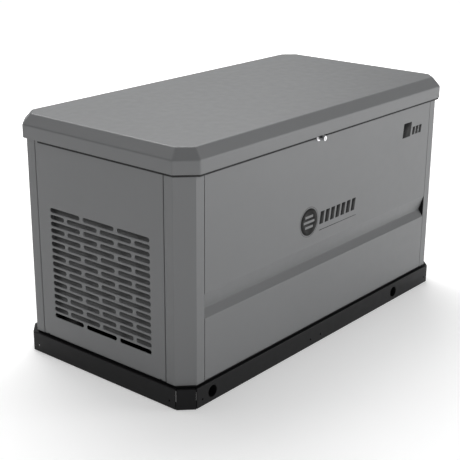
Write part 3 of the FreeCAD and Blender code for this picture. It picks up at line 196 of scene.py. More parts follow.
soft_box("overhead", (1.5, 2.4, 4.7), (0.0, 0.1, 0.3), 4.8, 322.0)
soft_box("rear_left_key", (-2.8, 3.2, 4.2), (-0.3, 0.0, 0.5), 2.4, 22.0)
soft_box("high_front_fill", (2.0, -3.4, 3.2), (0.4, 0.0, 0.3), 1.3, 16.0)
soft_box("low_front_fill", (3.2, -3.6, 0.7), (0.4, 0.0, 0.3), 1.2, 52.0)
soft_box("low_corner_fill", (-1.7, -4.2, 1.2), (-0.5, -0.3, 0.3), 1.0, 36.0)

# ---- base ----
# Black powder-coated base: four folded skirts with a lip over the floor plate, four short corner
# plates set in with open joints, round lifting tubes right through, and thin rubber pads.
SHEET = 1.5 * MM
BASE_SHEET = 2.5 * MM
RIM = 0.35 * MM          # broken edge of cut sheet
BEND = 2.2 * MM          # outside radius of a bend
FOLD = BEND * 0.999      # the same, kept just inside a web's edge
PLATE_SHEET = BASE_SHEET * 0.9


def rounded(points, radius, steps=4):
    """The open path POINTS with its corners turned into arcs."""
    path = [points[0]]
    for before, corner, after in zip(points, points[1:], points[2:]):
        back, on = (before - corner).normalized(), (after - corner).normalized()
        half = back.angle(on) / 2
        reach = radius / math.tan(half)
        centre = corner + (back + on).normalized() * (radius / math.sin(half))
        start = (corner + back * reach - centre).normalized()
        end = (corner + on * reach - centre).normalized()
        for step in range(steps + 1):
            path.append(centre + start.slerp(end, step / steps) * radius)
    return path + [points[-1]]


def points_in(geom):
    return [g for g in geom if isinstance(g, bmesh.types.BMVert)]


def follow(bm, edges, path):
    """Extrude EDGES along PATH, which starts where they lie."""
    for here, there in zip(path, path[1:]):
        grown = bmesh.ops.extrude_edge_only(bm, edges=edges)["geom"]
        new = points_in(grown)
        bmesh.ops.translate(bm, verts=new, vec=there - here)
        edges = [g for g in grown if isinstance(g, bmesh.types.BMEdge)
                 and g.verts[0] in new and g.verts[1] in new]
    return edges


def strip(bm, points, run, radius=BEND):
    """A sheet folded along POINTS, as long as RUN."""
    path = rounded([Vector(p) for p in points], radius)
    ends = [bm.verts.new(path[0]), bm.verts.new(path[0] + Vector(run))]
    follow(bm, [bm.edges.new(ends)], path)


def ring(bm, points):
    """A closed loop of edges through POINTS."""
    verts = [bm.verts.new(point) for point in points]
    return [bm.edges.new(pair) for pair in zip(verts, verts[1:] + verts[:1])]


def bridged(bm, rings):
    for one, other in zip(rings, rings[1:]):
        bmesh.ops.bridge_loops(bm, edges=one + other)


def web(bm, outline, holes, place):
    """A flat sheet with holes; OUTLINE and HOLES are loops of (u, v) that PLACE puts in space.
    Returns the edges round the outside, in order."""
    loops = [ring(bm, [place(u, v) for u, v in loop]) for loop in [outline] + holes]
    bmesh.ops.triangle_fill(bm, use_beauty=True, use_dissolve=False, edges=sum(loops, []))
    return loops[0]


def round_hole(u, v, radius, steps=28):
    turns = [2 * math.pi * i / steps for i in range(steps)]
    return [(u + radius * math.cos(a), v + radius * math.sin(a)) for a in turns]


def cleaned(bm):
    bmesh.ops.remove_doubles(bm, verts=bm.verts, dist=1e-6)
    bmesh.ops.recalc_face_normals(bm, faces=bm.faces)


def facing(bm, outward):
    """Turn the whole sheet so that its largest face towards OUTWARD looks that way."""
    cleaned(bm)
    for island in islands(bm):
        aim = outward(island) if callable(outward) else Vector(outward)
        face = max(island, key=lambda f: f.calc_area() * abs(f.normal.dot(aim)))
        if face.normal.dot(aim) < 0:
            bmesh.ops.reverse_faces(bm, faces=island)


def islands(bm):
    """The faces of each separate sheet."""
    left = set(bm.faces)
    found = []
    while left:
        group, ends = set(), [left.pop()]
        while ends:
            face = ends.pop()
            group.add(face)
            for edge in face.edges:
                for other in edge.link_faces:
                    if other in left:
                        left.discard(other)
                        ends.append(other)
        found.append(list(group))
    return found


def from_middle(island):
    """Outwards from the middle of the set, level with the ground."""
    face = max((f for f in island if abs(f.normal.z) < 0.1), key=lambda f: f.calc_area())
    centre = face.calc_center_median()
    return face.normal * (1 if face.normal.dot(Vector((centre.x, centre.y, 0))) > 0 else -1)


def piece(name, bm, finish, nodes=(), body="enclosure"):
    mesh = bpy.data.meshes.new(name)
    bm.to_mesh(mesh)
    bm.free()
    mesh.polygons.foreach_set("use_smooth", [True] * len(mesh.polygons))
    made = bpy.data.objects.new(name, mesh)
    mesh.materials.append(finish)
    scene.collection.objects.link(made)
    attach(made, body)
    if nodes:
        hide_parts(*nodes)
    return made


def edged(made, width, angle=50.0, segments=2, weld=False):
    """Break the sharp edges and keep the flats flat."""
    if weld:
        made.modifiers.new("weld", "WELD").merge_threshold = 0.01 * MM
    bevel = made.modifiers.new("broken_edge", "BEVEL")
    bevel.width = width
    bevel.segments = segments
    bevel.limit_method = "ANGLE"
    bevel.angle_limit = math.radians(angle)
    bevel.use_clamp_overlap = True
    bevel.miter_outer = "MITER_ARC"
    made.modifiers.new("flats", "WEIGHTED_NORMAL").keep_sharp = True


def sheet_metal(made, thickness):
    wall = made.modifiers.new("thickness", "SOLIDIFY")
    wall.thickness = thickness
    wall.offset = -1.0
    wall.use_even_offset = True
    edged(made, RIM)


def shade(colour, factor):
    return tuple(c * factor for c in colour)


def powder_coat(name, colour, rough, peel, gloss):
    """Baked powder paint: a fine pebbled skin, faint cloudiness and dust that dulls the gloss."""
    paint = Paint(name)
    paint.vary("Base Color", [(0.3, shade(colour, 0.98)), (0.7, shade(colour, 1.02))], 2.6, 2.0)
    paint.vary("Roughness", [(0.3, rough - 0.03), (0.7, rough + 0.03)], 38.0, 4.0)
    paint.set("Specular IOR Level", gloss)
    paint.grain(paint.noise(900.0, 2.0, 0.6), peel, 0.08 * MM)
    return paint.made


black_paint = powder_coat("black_powder_coat", (0.0062, 0.0062, 0.0068), 0.46, 0.35, 0.16)

skirt_low, skirt_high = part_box("base_skirts")
BASE_X, BASE_Y = skirt_high.x, skirt_high.y
FOOT, SKIRT_TOP = skirt_low.z, skirt_high.z
BASE_CUT = 38.0 * MM
CORNER_JOINT = 1.3 * MM
TOP_LIP, BOTTOM_LIP = 7.0 * MM, 30.0 * MM
LIFT_X = (-510.0 * MM, 364.0 * MM)
LIFT_RADIUS, LIFT_Z = 16.6 * MM, 30.0 * MM
HOLE_RADIUS, HOLE_Z = 3.0 * MM, 22.0 * MM
HOLE_X = [x * MM for x in (-549.0, -80.0, -31.0, 553.0)]
HOLE_Y = (-251.0 * MM, 251.0 * MM)


def skirt(bm, reach, holes, place):
    """One folded skirt: web, lip over the floor plate, and a foot lip underneath."""
    low, high = FOOT + BEND, SKIRT_TOP - BEND
    foot_reach = reach - MM
    outline = [(-reach, low), (-foot_reach, low), (foot_reach, low), (reach, low), (reach, high),
               (-reach, high)]
    edges = web(bm, outline, holes, lambda u, v: place(u, 0.0, v))
    foot = rounded([place(0, 0, low), place(0, 0, FOOT), place(0, BOTTOM_LIP, FOOT)], FOLD)
    follow(bm, [edges[1]], foot)
    lip = rounded([place(0, 0, high), place(0, 0, SKIRT_TOP), place(0, TOP_LIP, SKIRT_TOP)], FOLD)
    follow(bm, [edges[4]], lip)


bm = bmesh.new()
long_reach = BASE_X - BASE_CUT - CORNER_JOINT
end_reach = BASE_Y - BASE_CUT - CORNER_JOINT
long_holes = [round_hole(x, LIFT_Z, LIFT_RADIUS, 36) for x in LIFT_X]
long_holes += [round_hole(x, HOLE_Z, HOLE_RADIUS, 16) for x in HOLE_X]
end_holes = [round_hole(y, HOLE_Z, HOLE_RADIUS, 16) for y in HOLE_Y]
for side in (-1, 1):
    skirt(bm, long_reach, long_holes, lambda u, v, w: Vector((u, side * (BASE_Y - v), w)))
    skirt(bm, end_reach, end_holes, lambda u, v, w: Vector((side * (BASE_X - v), u, w)))
facing(bm, from_middle)
sheet_metal(piece("base_skirt_sheets", bm, black_paint, ["base_skirts"]), BASE_SHEET)

bm = bmesh.new()
plate_half = BASE_CUT * math.sqrt(0.5) - CORNER_JOINT
lip_half = plate_half - TOP_LIP * math.tan(math.radians(22.5)) - CORNER_JOINT / 2
for sx, sy in CORNERS:
    middle = Vector((sx * (BASE_X - BASE_CUT / 2), sy * (BASE_Y - BASE_CUT / 2), 0))
    along = Vector((sx, -sy, 0)).normalized()
    inward = Vector((-sx, -sy, 0)).normalized()
    high = SKIRT_TOP - BEND
    outline = [(-plate_half, FOOT), (plate_half, FOOT), (plate_half, high), (lip_half, high),
               (-lip_half, high), (-plate_half, high)]
    edges = web(bm, outline, [], lambda u, v: middle + along * u + UP * v)
    crease = middle + UP * SKIRT_TOP
    lip = rounded([middle + UP * high, crease, crease + inward * TOP_LIP], FOLD)
    follow(bm, [edges[3]], lip)
facing(bm, from_middle)
sheet_metal(piece("base_corner_sheets", bm, black_paint, ["base_corner_plates"]),
            PLATE_SHEET)


def finished(names, finish, width=0.5 * MM, angle=40.0):
    """Give CAD nodes their finish and softly broken edges."""
    for name in names:
        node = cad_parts[name]
        for holder in node.material_slots:
            holder.material = finish
        if not node.material_slots:
            node.data.materials.append(finish)
        if width:
            edged(node, width, angle, 2, True)


def rubber(name, colour, grain):
    """Moulded rubber: matt, faintly bloomed and slightly rough."""
    paint = Paint(name)
    paint.vary("Base Color", [(0.35, shade(colour, 0.8)), (0.75, shade(colour, 1.4))], 24.0, 4.0)
    paint.vary("Roughness", [(0.3, 0.66), (0.7, 0.82)], 60.0)
    paint.set("Specular IOR Level", 0.3)
    paint.grain(paint.noise(grain, 2.0), 0.3, 0.15 * MM)
    return paint.made


soft_black = rubber("black_rubber", (0.014, 0.014, 0.0145), 700.0)
finished(["base_floor", "lifting_tubes"], black_paint, 0.4 * MM)
finished(["foot_pads", "weather_seals"], soft_black, 0.3 * MM)

# ---- body ----
# Light grey powder-coated sheet: four folded corner posts, a grooved front panel, a plain rear
# panel, and two slotted end trays set between the posts with open joints.
grey_paint = powder_coat("grey_powder_coat", (0.158, 0.161, 0.164), 0.42, 0.3, 0.36)


def grey_sheet(name, bm, node, body="enclosure"):
    sheet_metal(piece(name, bm, grey_paint, [node], body), SHEET)


post_low, post_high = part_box("corner_posts")
BODY_X, BODY_Y = post_high.x, post_high.y
LOW, HIGH = post_low.z, post_high.z
PANEL_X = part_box("front_panel")[1].x
PANEL_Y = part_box("intake_end_panel")[1].y
CHAMFER = 40.0 * MM
GAP = 2.0 * MM
RETURN = 14.0 * MM
bm = bmesh.new()
for sx, sy in CORNERS:
    plan = [(PANEL_X + GAP, BODY_Y), (BODY_X - CHAMFER, BODY_Y), (BODY_X, BODY_Y - CHAMFER),
            (BODY_X, PANEL_Y + GAP), (BODY_X - RETURN, PANEL_Y + GAP)]
    strip(bm, [(sx * x, sy * y, LOW) for x, y in plan], (0, 0, HIGH - LOW), 2.6 * MM)
facing(bm, from_middle)
grey_sheet("corner_post_sheets", bm, "corner_posts")

# Closing angles welded inside the posts, which stop light and rain at the open joints beside the front
# and rear panels. Their black is painted shade for the dark seen in those joints. In front they pass
# behind the groove.
ANGLE_LOW, ANGLE_HIGH = LOW + 5 * MM, HIGH - 24 * MM
ANGLE_DEPTHS = {-1: 20.2 * MM, 1: 6.2 * MM}
ANGLE_WEB_X = PANEL_X + GAP + SHEET + 0.1 * MM
ANGLE_FACE_Y = BODY_Y - 2.02 * SHEET
ANGLE_FLANGE, ANGLE_LAP = 12 * MM, 4.5 * MM
bm = bmesh.new()
for sx in (-1, 1):
    for sy, depth in ANGLE_DEPTHS.items():
        plan = [(ANGLE_WEB_X + ANGLE_FLANGE, ANGLE_FACE_Y), (ANGLE_WEB_X, ANGLE_FACE_Y),
                (ANGLE_WEB_X, BODY_Y - depth), (PANEL_X - ANGLE_LAP, BODY_Y - depth)]
        strip(bm, [(sx * x, sy * y, ANGLE_LOW) for x, y in plan], (0, 0, ANGLE_HIGH - ANGLE_LOW), 1.0 * MM)


def along_length(island):
    """Along X, away from the middle of the set, for the angles' upright webs."""
    side = sum(f.calc_center_median().x for f in island)
    return Vector((1 if side > 0 else -1, 0, 0))


facing(bm, along_length)
# The angles' black paint is painted shade in the open joints.
sheet_metal(piece("post_closing_angles_painted_shade", bm, black_paint), SHEET)

GROOVE_LOW = LOW + 173.1 * MM
GROOVE_CREASE = GROOVE_LOW + 21.0 * MM
GROOVE_HIGH = GROOVE_CREASE + 49.0 * MM
GROOVE_DEPTH = 16.0 * MM
LOCK_X, LOCK_Z = -64.0 * MM, 615.5 * MM
LOCK_HOLE = 6.9 * MM


def wide_panel(bm, side, low_path, high_path, holes):
    """A panel across the front (side -1) or rear (side 1), folded on above and below its flat web.
    The paths are (depth, height) pairs and start on the web's edges."""
    def place(u, depth, v):
        return Vector((u, side * (BODY_Y - depth), v))
    low, high = low_path[0][1], high_path[0][1]
    outline = [(-PANEL_X, low), (PANEL_X, low), (PANEL_X, high), (-PANEL_X, high)]
    edges = web(bm, outline, holes, lambda u, v: place(u, 0, v))
    for edge, path in ((edges[0], low_path), (edges[2], high_path)):
        follow(bm, [edge], rounded([place(0, d, z) for d, z in path], FOLD))
    facing(bm, (0, side, 0))


top_return = [(0, HIGH - BEND), (0, HIGH), (RETURN, HIGH)]
bm = bmesh.new()
groove = [(0, GROOVE_HIGH + MM), (0, GROOVE_HIGH), (GROOVE_DEPTH, GROOVE_CREASE), (0, GROOVE_LOW),
          (0, LOW), (RETURN, LOW)]
wide_panel(bm, -1, groove, top_return, [round_hole(LOCK_X, LOCK_Z, LOCK_HOLE)])
grey_sheet("front_panel_sheet", bm, "front_panel")

bm = bmesh.new()
plain = [(0, LOW + BEND), (0, LOW), (RETURN, LOW)]
gas_hole = round_hole(180 * MM, 112 * MM, 13.05 * MM)
conduit_hole = round_hole(-440 * MM, 130 * MM, 17.0 * MM, 36)
wide_panel(bm, 1, plain, top_return, [gas_hole, conduit_hole])
grey_sheet("rear_panel_sheet", bm, "rear_panel")

SLOT_PITCH = 19.07 * MM
SLOT_START = LOW + 68.1 * MM
SLOT_RADIUS = 6.0 * MM
SLOT_LONG, SLOT_SHORT = 114.0 * MM, 54.0 * MM
SLOT_ROWS, OUTLET_FIRST = 17, 5
SLOT_SHIFT = 126.0 * MM
INNER_SLOT_Y, EDGE_SLOT_Y = 62.25 * MM, 156.75 * MM
NOTCH_Y, NOTCH_HALF, NOTCH_RISE = PANEL_Y - 17 * MM, 4 * MM, 1.3 * MM
FLARE = 1.5 * MM         # the slots' edges are rolled inwards


def obround(u, v, length, grow=FLARE, steps=7):
    reach, radius = length / 2 - SLOT_RADIUS, SLOT_RADIUS + grow
    loop = []
    for side in (1, -1):
        for i in range(steps + 1):
            a = -math.pi / 2 + math.pi * i / steps + (0 if side > 0 else math.pi)
            loop.append((u + side * reach + radius * math.cos(a), v + radius * math.sin(a)))
    return loop


def slot_rows(first):
    """Long slots three abreast, with the rows between moved over by half a slot."""
    spots = []
    for row in range(first, SLOT_ROWS):
        if row % 2 == 0:
            across = [(-SLOT_SHIFT, SLOT_LONG), (0.0, SLOT_LONG), (SLOT_SHIFT, SLOT_LONG)]
        else:
            across = [(s * at, size) for at, size in ((INNER_SLOT_Y, SLOT_LONG), (EDGE_SLOT_Y, SLOT_SHORT))
                      for s in (-1, 1)]
        spots += [(u, SLOT_START + row * SLOT_PITCH, size) for u, size in across]
    return spots


def end_tray(bm, side, slots, holes):
    def place(u, depth, v):
        return Vector((side * (BODY_X - depth), u, v))
    half, low, high, step = PANEL_Y - BEND, LOW + BEND, HIGH - BEND, LOW + BEND + NOTCH_RISE
    a, b = NOTCH_Y - NOTCH_HALF, NOTCH_Y + NOTCH_HALF
    outline = [(-half, low), (-b, low), (-b, step), (-a, step), (-a, low), (a, low), (a, step), (b, step),
               (b, low), (half, low), (half, high), (-half, high)]
    edges = web(bm, outline, [obround(*slot) for slot in slots] + holes, lambda u, v: place(u, 0, v))
    for slot in slots:
        rings = []
        for lean in (0, 30, 60, 90):
            turn = math.radians(lean)
            grow, depth = FLARE * (1 - math.sin(turn)), FLARE * (1 - math.cos(turn))
            rings.append(ring(bm, [place(u, depth, v) for u, v in obround(*slot, grow)]))
        bridged(bm, rings)
    bends = [([edges[0], edges[4], edges[8]], (0, low), (0, LOW)), ([edges[9]], (half, 0), (PANEL_Y, 0)),
             ([edges[10]], (0, high), (0, HIGH)), ([edges[11]], (-half, 0), (-PANEL_Y, 0))]
    for group, (u0, v0), (u1, v1) in bends:
        corner = [place(u0, 0, v0), place(u1, 0, v1), place(u1, RETURN, v1)]
        follow(bm, group, rounded(corner, FOLD))
    facing(bm, (side, 0, 0))


bm = bmesh.new()
end_tray(bm, -1, slot_rows(0), [])
grey_sheet("intake_end_sheet", bm, "intake_end_panel")
bm = bmesh.new()
tail_hole = round_hole(0, 150 * MM, 30 * MM, 48)
end_tray(bm, 1, slot_rows(OUTLET_FIRST), [tail_hole])
grey_sheet("outlet_end_sheet", bm, "outlet_end_panel")
finished(["top_frame"], grey_paint, 0.35 * MM)
# The intake baffle gets the body's grey powder coat darkened as painted shade for the dim space behind the
# slots.
baffle_shaded_paint = powder_coat("baffle_painted_shade_coat", (0.070, 0.071, 0.072), 0.5, 0.3, 0.3)
finished(["intake_baffle"], baffle_shaded_paint, 0.35 * MM)

# ---- lid ----
# One pressed and welded grey lid: an upright fascia with a folded hem, a bevel all round and a
# flat top, stiffened by a pressed frame underneath.
lid_low, lid_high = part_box("lid_shell")
LID_CUT = 47.8 * MM
FASCIA = 35.6 * MM
LEAN_IN = 23.2 * MM
HEM_DEPTH, HEM_HEIGHT = 3.1 * MM, 8.0 * MM


def octagon(inset, z):
    """Corners of the lid's outline at height Z, moved in by INSET."""
    x, y = lid_high.x - inset, lid_high.y - inset
    cut = LID_CUT - inset * (2 - math.sqrt(2))
    return [(-x + cut, -y, z), (x - cut, -y, z), (x, -y + cut, z), (x, y - cut, z), (x - cut, y, z),
            (-x + cut, y, z), (-x, y - cut, z), (-x, -y + cut, z)]


def softened(bm, edges, offset, segments=3):
    """Round EDGES in the mesh itself."""
    return bmesh.ops.bevel(bm, geom=edges, offset=offset, offset_type="OFFSET", segments=segments,
                           profile=0.5, affect="EDGES", clamp_overlap=True, material=-1)


bm = bmesh.new()
levels = [(HEM_DEPTH, lid_low.z + HEM_HEIGHT), (HEM_DEPTH, lid_low.z), (0.0, lid_low.z),
          (0.0, lid_low.z + FASCIA), (LEAN_IN, lid_high.z)]
rings = [ring(bm, octagon(inset, z)) for inset, z in levels]
bridged(bm, rings)
bmesh.ops.contextual_create(bm, geom=rings[-1])
above_hem = lid_low.z + HEM_HEIGHT + 1e-4
bends = [e for e in bm.edges if e not in rings[0] + rings[1] + rings[2]
         and min(v.co.z for v in e.verts) > lid_low.z - 1e-5 and max(v.co.z for v in e.verts) > above_hem]
softened(bm, bends, 3.2 * MM, 4)
facing(bm, (0, 0, 1))
grey_sheet("lid_pressing", bm, "lid_shell", "lid")
finished(["lid_frame"], grey_paint, 0.4 * MM)

# A black rubber strip set inside the hem along the front and both ends, with a notch for the lock.
# It hangs below the hem as painted shadow: a dark strip that stands in for the shadow line under the lid.
# Known fault: closing its cut ends also fills the opening under the lid with flat sheets, on both
# sides of the lock, which show when the lid is open.
SHADOW_STRIP_OUT, SHADOW_STRIP_IN, SHADOW_STRIP_DROP, SHADOW_STRIP_RISE = 3.15 * MM, 6.5 * MM, 6.4 * MM, 5.0 * MM
SHADOW_STRIP_END_Y = 215.0 * MM
NOTCH_HALF_WIDTH = 24.0 * MM
SHADOW_STRIP_CUT = 0.8 * MM      # bevelled lower edges


def split(bm, spot, normal, clear=False):
    """Cut everything along a plane, and drop what lies beyond it if CLEAR is set."""
    bmesh.ops.bisect_plane(bm, geom=bm.verts[:] + bm.edges[:] + bm.faces[:], plane_co=spot,
                           plane_no=normal, clear_outer=clear)


bm = bmesh.new()
profile = [(SHADOW_STRIP_OUT, SHADOW_STRIP_RISE), (SHADOW_STRIP_OUT, SHADOW_STRIP_CUT - SHADOW_STRIP_DROP), (SHADOW_STRIP_OUT + SHADOW_STRIP_CUT, -SHADOW_STRIP_DROP),
           (SHADOW_STRIP_IN - SHADOW_STRIP_CUT, -SHADOW_STRIP_DROP), (SHADOW_STRIP_IN, SHADOW_STRIP_CUT - SHADOW_STRIP_DROP), (SHADOW_STRIP_IN, SHADOW_STRIP_RISE)]
rings = [ring(bm, octagon(inset, lid_low.z + rise)) for inset, rise in profile]
bridged(bm, rings + rings[:1])
split(bm, (0, SHADOW_STRIP_END_Y, 0), (0, 1, 0), True)
split(bm, (LOCK_X - NOTCH_HALF_WIDTH, 0, 0), (1, 0, 0))
split(bm, (LOCK_X + NOTCH_HALF_WIDTH, 0, 0), (1, 0, 0))
notch = [f for f in bm.faces if abs(f.calc_center_median().x - LOCK_X) < NOTCH_HALF_WIDTH]
bmesh.ops.delete(bm, geom=notch, context="FACES")
bmesh.ops.holes_fill(bm, edges=[e for e in bm.edges if e.is_boundary], sides=0)
bmesh.ops.recalc_face_normals(bm, faces=bm.faces)
# The strip's black is painted shadow under the lid's edge.
edged(piece("lid_painted_shadow_strip", bm, soft_black, body="lid"), 0.3 * MM)

# ---- plain marks on the front ----
# Dark ink printed on the powder coat: a ringed disc with three bars left clear, a row of slanted
# bars over a thin rule, and a larger and three small slanted blocks at the right.
INK = 0.15 * MM
mark_ink = Paint("dark_mark_ink")
mark_ink.vary("Base Color", [(0.3, 0.011), (0.7, 0.016)], 130.0)
mark_ink.set("Roughness", 0.6)
mark_ink.set("Specular IOR Level", 0.15)
mark_ink.grain(mark_ink.noise(900.0), 0.2, 0.05 * MM)


def merged(bm, made):
    """Move the mesh MADE into BM."""
    mesh = bpy.data.meshes.new("part")
    made.to_mesh(mesh)
    made.free()
    bm.from_mesh(mesh)
    bpy.data.meshes.remove(mesh)


def drawn(bm, faces, by):
    """Extrude FACES by the vector BY."""
    points = points_in(bmesh.ops.extrude_face_region(bm, geom=faces)["geom"])
    bmesh.ops.translate(bm, verts=points, vec=by)
    return points


def inked(bm, loops):
    """A thin flat mark on the front panel; LOOPS are an outline of (x, z) and the holes in it."""
    made = bmesh.new()
    web(made, loops[0], loops[1:], lambda u, v: Vector((u, -BODY_Y, v)))
    facing(made, (0, -1, 0))
    flat = made.faces[:]
    drawn(made, flat, (0, -INK, 0))
    bmesh.ops.delete(made, geom=flat, context="FACES_ONLY")
    merged(bm, made)


def slanted(left, right, low, high, lean):
    return [(left, low), (right, low), (right + lean, high), (left + lean, high)]


RING_X, RING_Z, RING_OUTER, RING_INNER = -95 * MM, 380.5 * MM, 43 * MM, 39 * MM
CLEAR_BARS = ((15 * MM, 18 * MM), (0.0, 25 * MM), (-15 * MM, 18 * MM))
CLEAR_HALF = 3.6 * MM
BARS_LEFT, BARS_LOW, BARS_HIGH = -46 * MM, 361 * MM, 397 * MM
BAR_PITCH, BAR_WIDTH, BAR_LEAN = 26.0 * MM, 18 * MM, 6 * MM
RULE_RIGHT, RULE_LOW, RULE_HIGH = 138 * MM, 342.8 * MM, 344.4 * MM
BLOCK_PITCH, BLOCK_WIDTH, BLOCK_LEAN = 19, 14 * MM, 4 * MM
bm = bmesh.new()
bars = [slanted(RING_X - half, RING_X + half, RING_Z + rise - CLEAR_HALF, RING_Z + rise + CLEAR_HALF, 0.0)
        for rise, half in CLEAR_BARS]
inked(bm, [round_hole(RING_X, RING_Z, RING_INNER, 64)] + bars)
inked(bm, [round_hole(RING_X, RING_Z, RING_OUTER, 64), round_hole(RING_X, RING_Z, RING_OUTER - MM, 64)])
for i in range(7):
    left = BARS_LEFT + i * BAR_PITCH
    inked(bm, [slanted(left, left + BAR_WIDTH, BARS_LOW, BARS_HIGH, BAR_LEAN)])
inked(bm, [slanted(BARS_LEFT, RULE_RIGHT, RULE_LOW, RULE_HIGH, 0.0)])
inked(bm, [slanted(378 * MM, 422 * MM, 524 * MM, 568 * MM, BAR_LEAN)])
for i in range(3):
    left = (432 + BLOCK_PITCH * i) * MM
    inked(bm, [slanted(left, left + BLOCK_WIDTH, 526 * MM, 550 * MM, BLOCK_LEAN)])
piece("front_marks", bm, mark_ink.made)


# ---- lid lock ----
# A chrome-plated cam lock: a key barrel through the front panel with a flange and a nut behind it,
# and a flat cam that hooks over the lid's striker.
def metal(name, colour, rough, scratch, grain, depth, metallic=1.0):
    """Bare or plated metal: faint tarnish, uneven polish and a fine grain."""
    paint = Paint(name)
    paint.vary("Base Color", [(0.3, shade(colour, 0.86)), (0.7, colour)], 22.0, 4.0, 0.6)
    paint.vary("Roughness", [(0.3, rough - 0.05), (0.75, rough + 0.1)], scratch, 5.0, 0.65)
    paint.set("Metallic", metallic)
    paint.grain(paint.noise(grain, 3.0, 0.6), 0.25, depth)
    return paint.made


chrome = metal("chrome_plate", (0.78, 0.78, 0.79), 0.12, 300.0, 1200.0, 0.01 * MM)
finished(["lock_barrel", "lock_housing"], chrome, 0.3 * MM)

# ---- hinges ----
# Three welded steel hinges across the back in the same grey paint, each leaf held by two
# round-headed screws with a hexagon socket.
zinc = metal("zinc_plate", (0.60, 0.605, 0.60), 0.32, 90.0, 400.0, 0.04 * MM)
finished(["hinge_body_leaves", "hinge_lid_leaves"], grey_paint, 0.4 * MM)


def turned_to(bm, verts, spot, direction):
    """Put a fastener modelled along Z at SPOT, pointing in DIRECTION."""
    turn = UP.rotation_difference(Vector(direction)).to_matrix().to_4x4()
    bmesh.ops.transform(bm, matrix=Matrix.Translation(Vector(spot)) @ turn, verts=verts)


def cone(bm, sides, foot, top, depth):
    return bmesh.ops.create_cone(bm, cap_ends=True, segments=sides, radius1=foot, radius2=top,
                                 depth=depth)["verts"]


def button_screw(bm, spot, direction, radius):
    """A domed screw head with a hexagon socket sunk in its top."""
    made = cone(bm, 24, radius, radius * 0.62, radius * 0.56)
    bmesh.ops.translate(bm, verts=made, vec=(0, 0, radius * 0.28))
    top = max({f for v in made for f in v.link_faces}, key=lambda f: f.calc_center_median().z)
    rim = softened(bm, list(top.edges), radius * 0.22)
    verts = list({v for v in made if v.is_valid} | set(rim["verts"]))
    socket = bmesh.ops.create_circle(bm, cap_ends=True, segments=6, radius=radius * 0.34)["verts"]
    bmesh.ops.translate(bm, verts=socket, vec=(0, 0, radius * 0.575))
    faces = list({f for v in socket for f in v.link_faces})
    deep = drawn(bm, faces, (0, 0, -radius * 0.1))
    turned_to(bm, verts + socket + deep, spot, direction)


def hex_bolt(bm, spot, direction, radius):
    """A washer, a chamfered hexagon head and its faint dish."""
    washer = cone(bm, 28, radius * 1.35, radius * 1.35, radius * 0.22)
    bmesh.ops.translate(bm, verts=washer, vec=(0, 0, radius * 0.11))
    head = cone(bm, 6, radius, radius, radius * 0.8)
    bmesh.ops.translate(bm, verts=head, vec=(0, 0, radius * 0.61))
    top = max({f for v in head for f in v.link_faces}, key=lambda f: f.calc_center_median().z)
    dish = bmesh.ops.inset_individual(bm, faces=[top], thickness=radius * 0.18, depth=-radius * 0.08)
    verts = list(set(washer + head) | {v for f in dish["faces"] for v in f.verts} | set(top.verts))
    turned_to(bm, verts, spot, direction)


def fasteners(name, make, spots, body="enclosure"):
    """Zinc-plated screws or bolts; SPOTS are (place, direction, radius)."""
    bm = bmesh.new()
    for spot, direction, radius in spots:
        make(bm, spot, direction, radius)
    edged(piece(name, bm, zinc, body=body), 0.2 * MM, 40.0)


HINGE_X, HINGE_SCREW = (-400 * MM, 0.0, 400 * MM), 27 * MM
BODY_SCREW_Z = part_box("hinge_body_leaves")[0].z + 14 * MM
LID_SCREW_Y, LID_SCREW_Z = 312 * MM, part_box("hinge_lid_leaves")[1].z - 12 * MM
fasteners("hinge_body_screws", button_screw,
          [((x + s * HINGE_SCREW, BODY_Y + 2 * MM, BODY_SCREW_Z), (0, 1, 0), 5.5 * MM)
           for x in HINGE_X for s in (-1, 1)])
fasteners("hinge_lid_screws", button_screw,
          [((x + s * HINGE_SCREW, LID_SCREW_Y, LID_SCREW_Z), (0, -1, 0), 5.0 * MM)
           for x in HINGE_X for s in (-1, 1)], "lid")

# ---- lid struts ----
# Two gas springs: a black painted cylinder, a polished chrome rod, and zinc-plated brackets at both
# ends that carry the pins.
finished(["strut_left_cylinder", "strut_right_cylinder"], black_paint, 0.5 * MM)
finished(["strut_left_rod", "strut_right_rod"], chrome, 0.3 * MM)
finished(["strut_body_brackets", "lid_brackets"], zinc, 0.3 * MM)

# ---- acoustic foam ----
# Open-cell charcoal foam cut from flat stock, glued inside the lid and behind the front panel. The
# cut edges pull in and the face swells a little between glue spots.
foam = Paint("charcoal_foam")
cells = foam.nodes.new("ShaderNodeTexVoronoi")
cells.inputs["Scale"].default_value = 520.0
foam.link(foam.place, cells.inputs["Vector"])
foam.vary("Base Color", [(0.3, 0.026), (0.7, 0.046)], 9.0, 4.0)
foam.vary("Roughness", [(0.3, 0.9), (0.7, 0.98)], 30.0)
foam.set("Specular IOR Level", 0.15)
foam.grain(cells.outputs["Distance"], 0.8, 0.9 * MM)


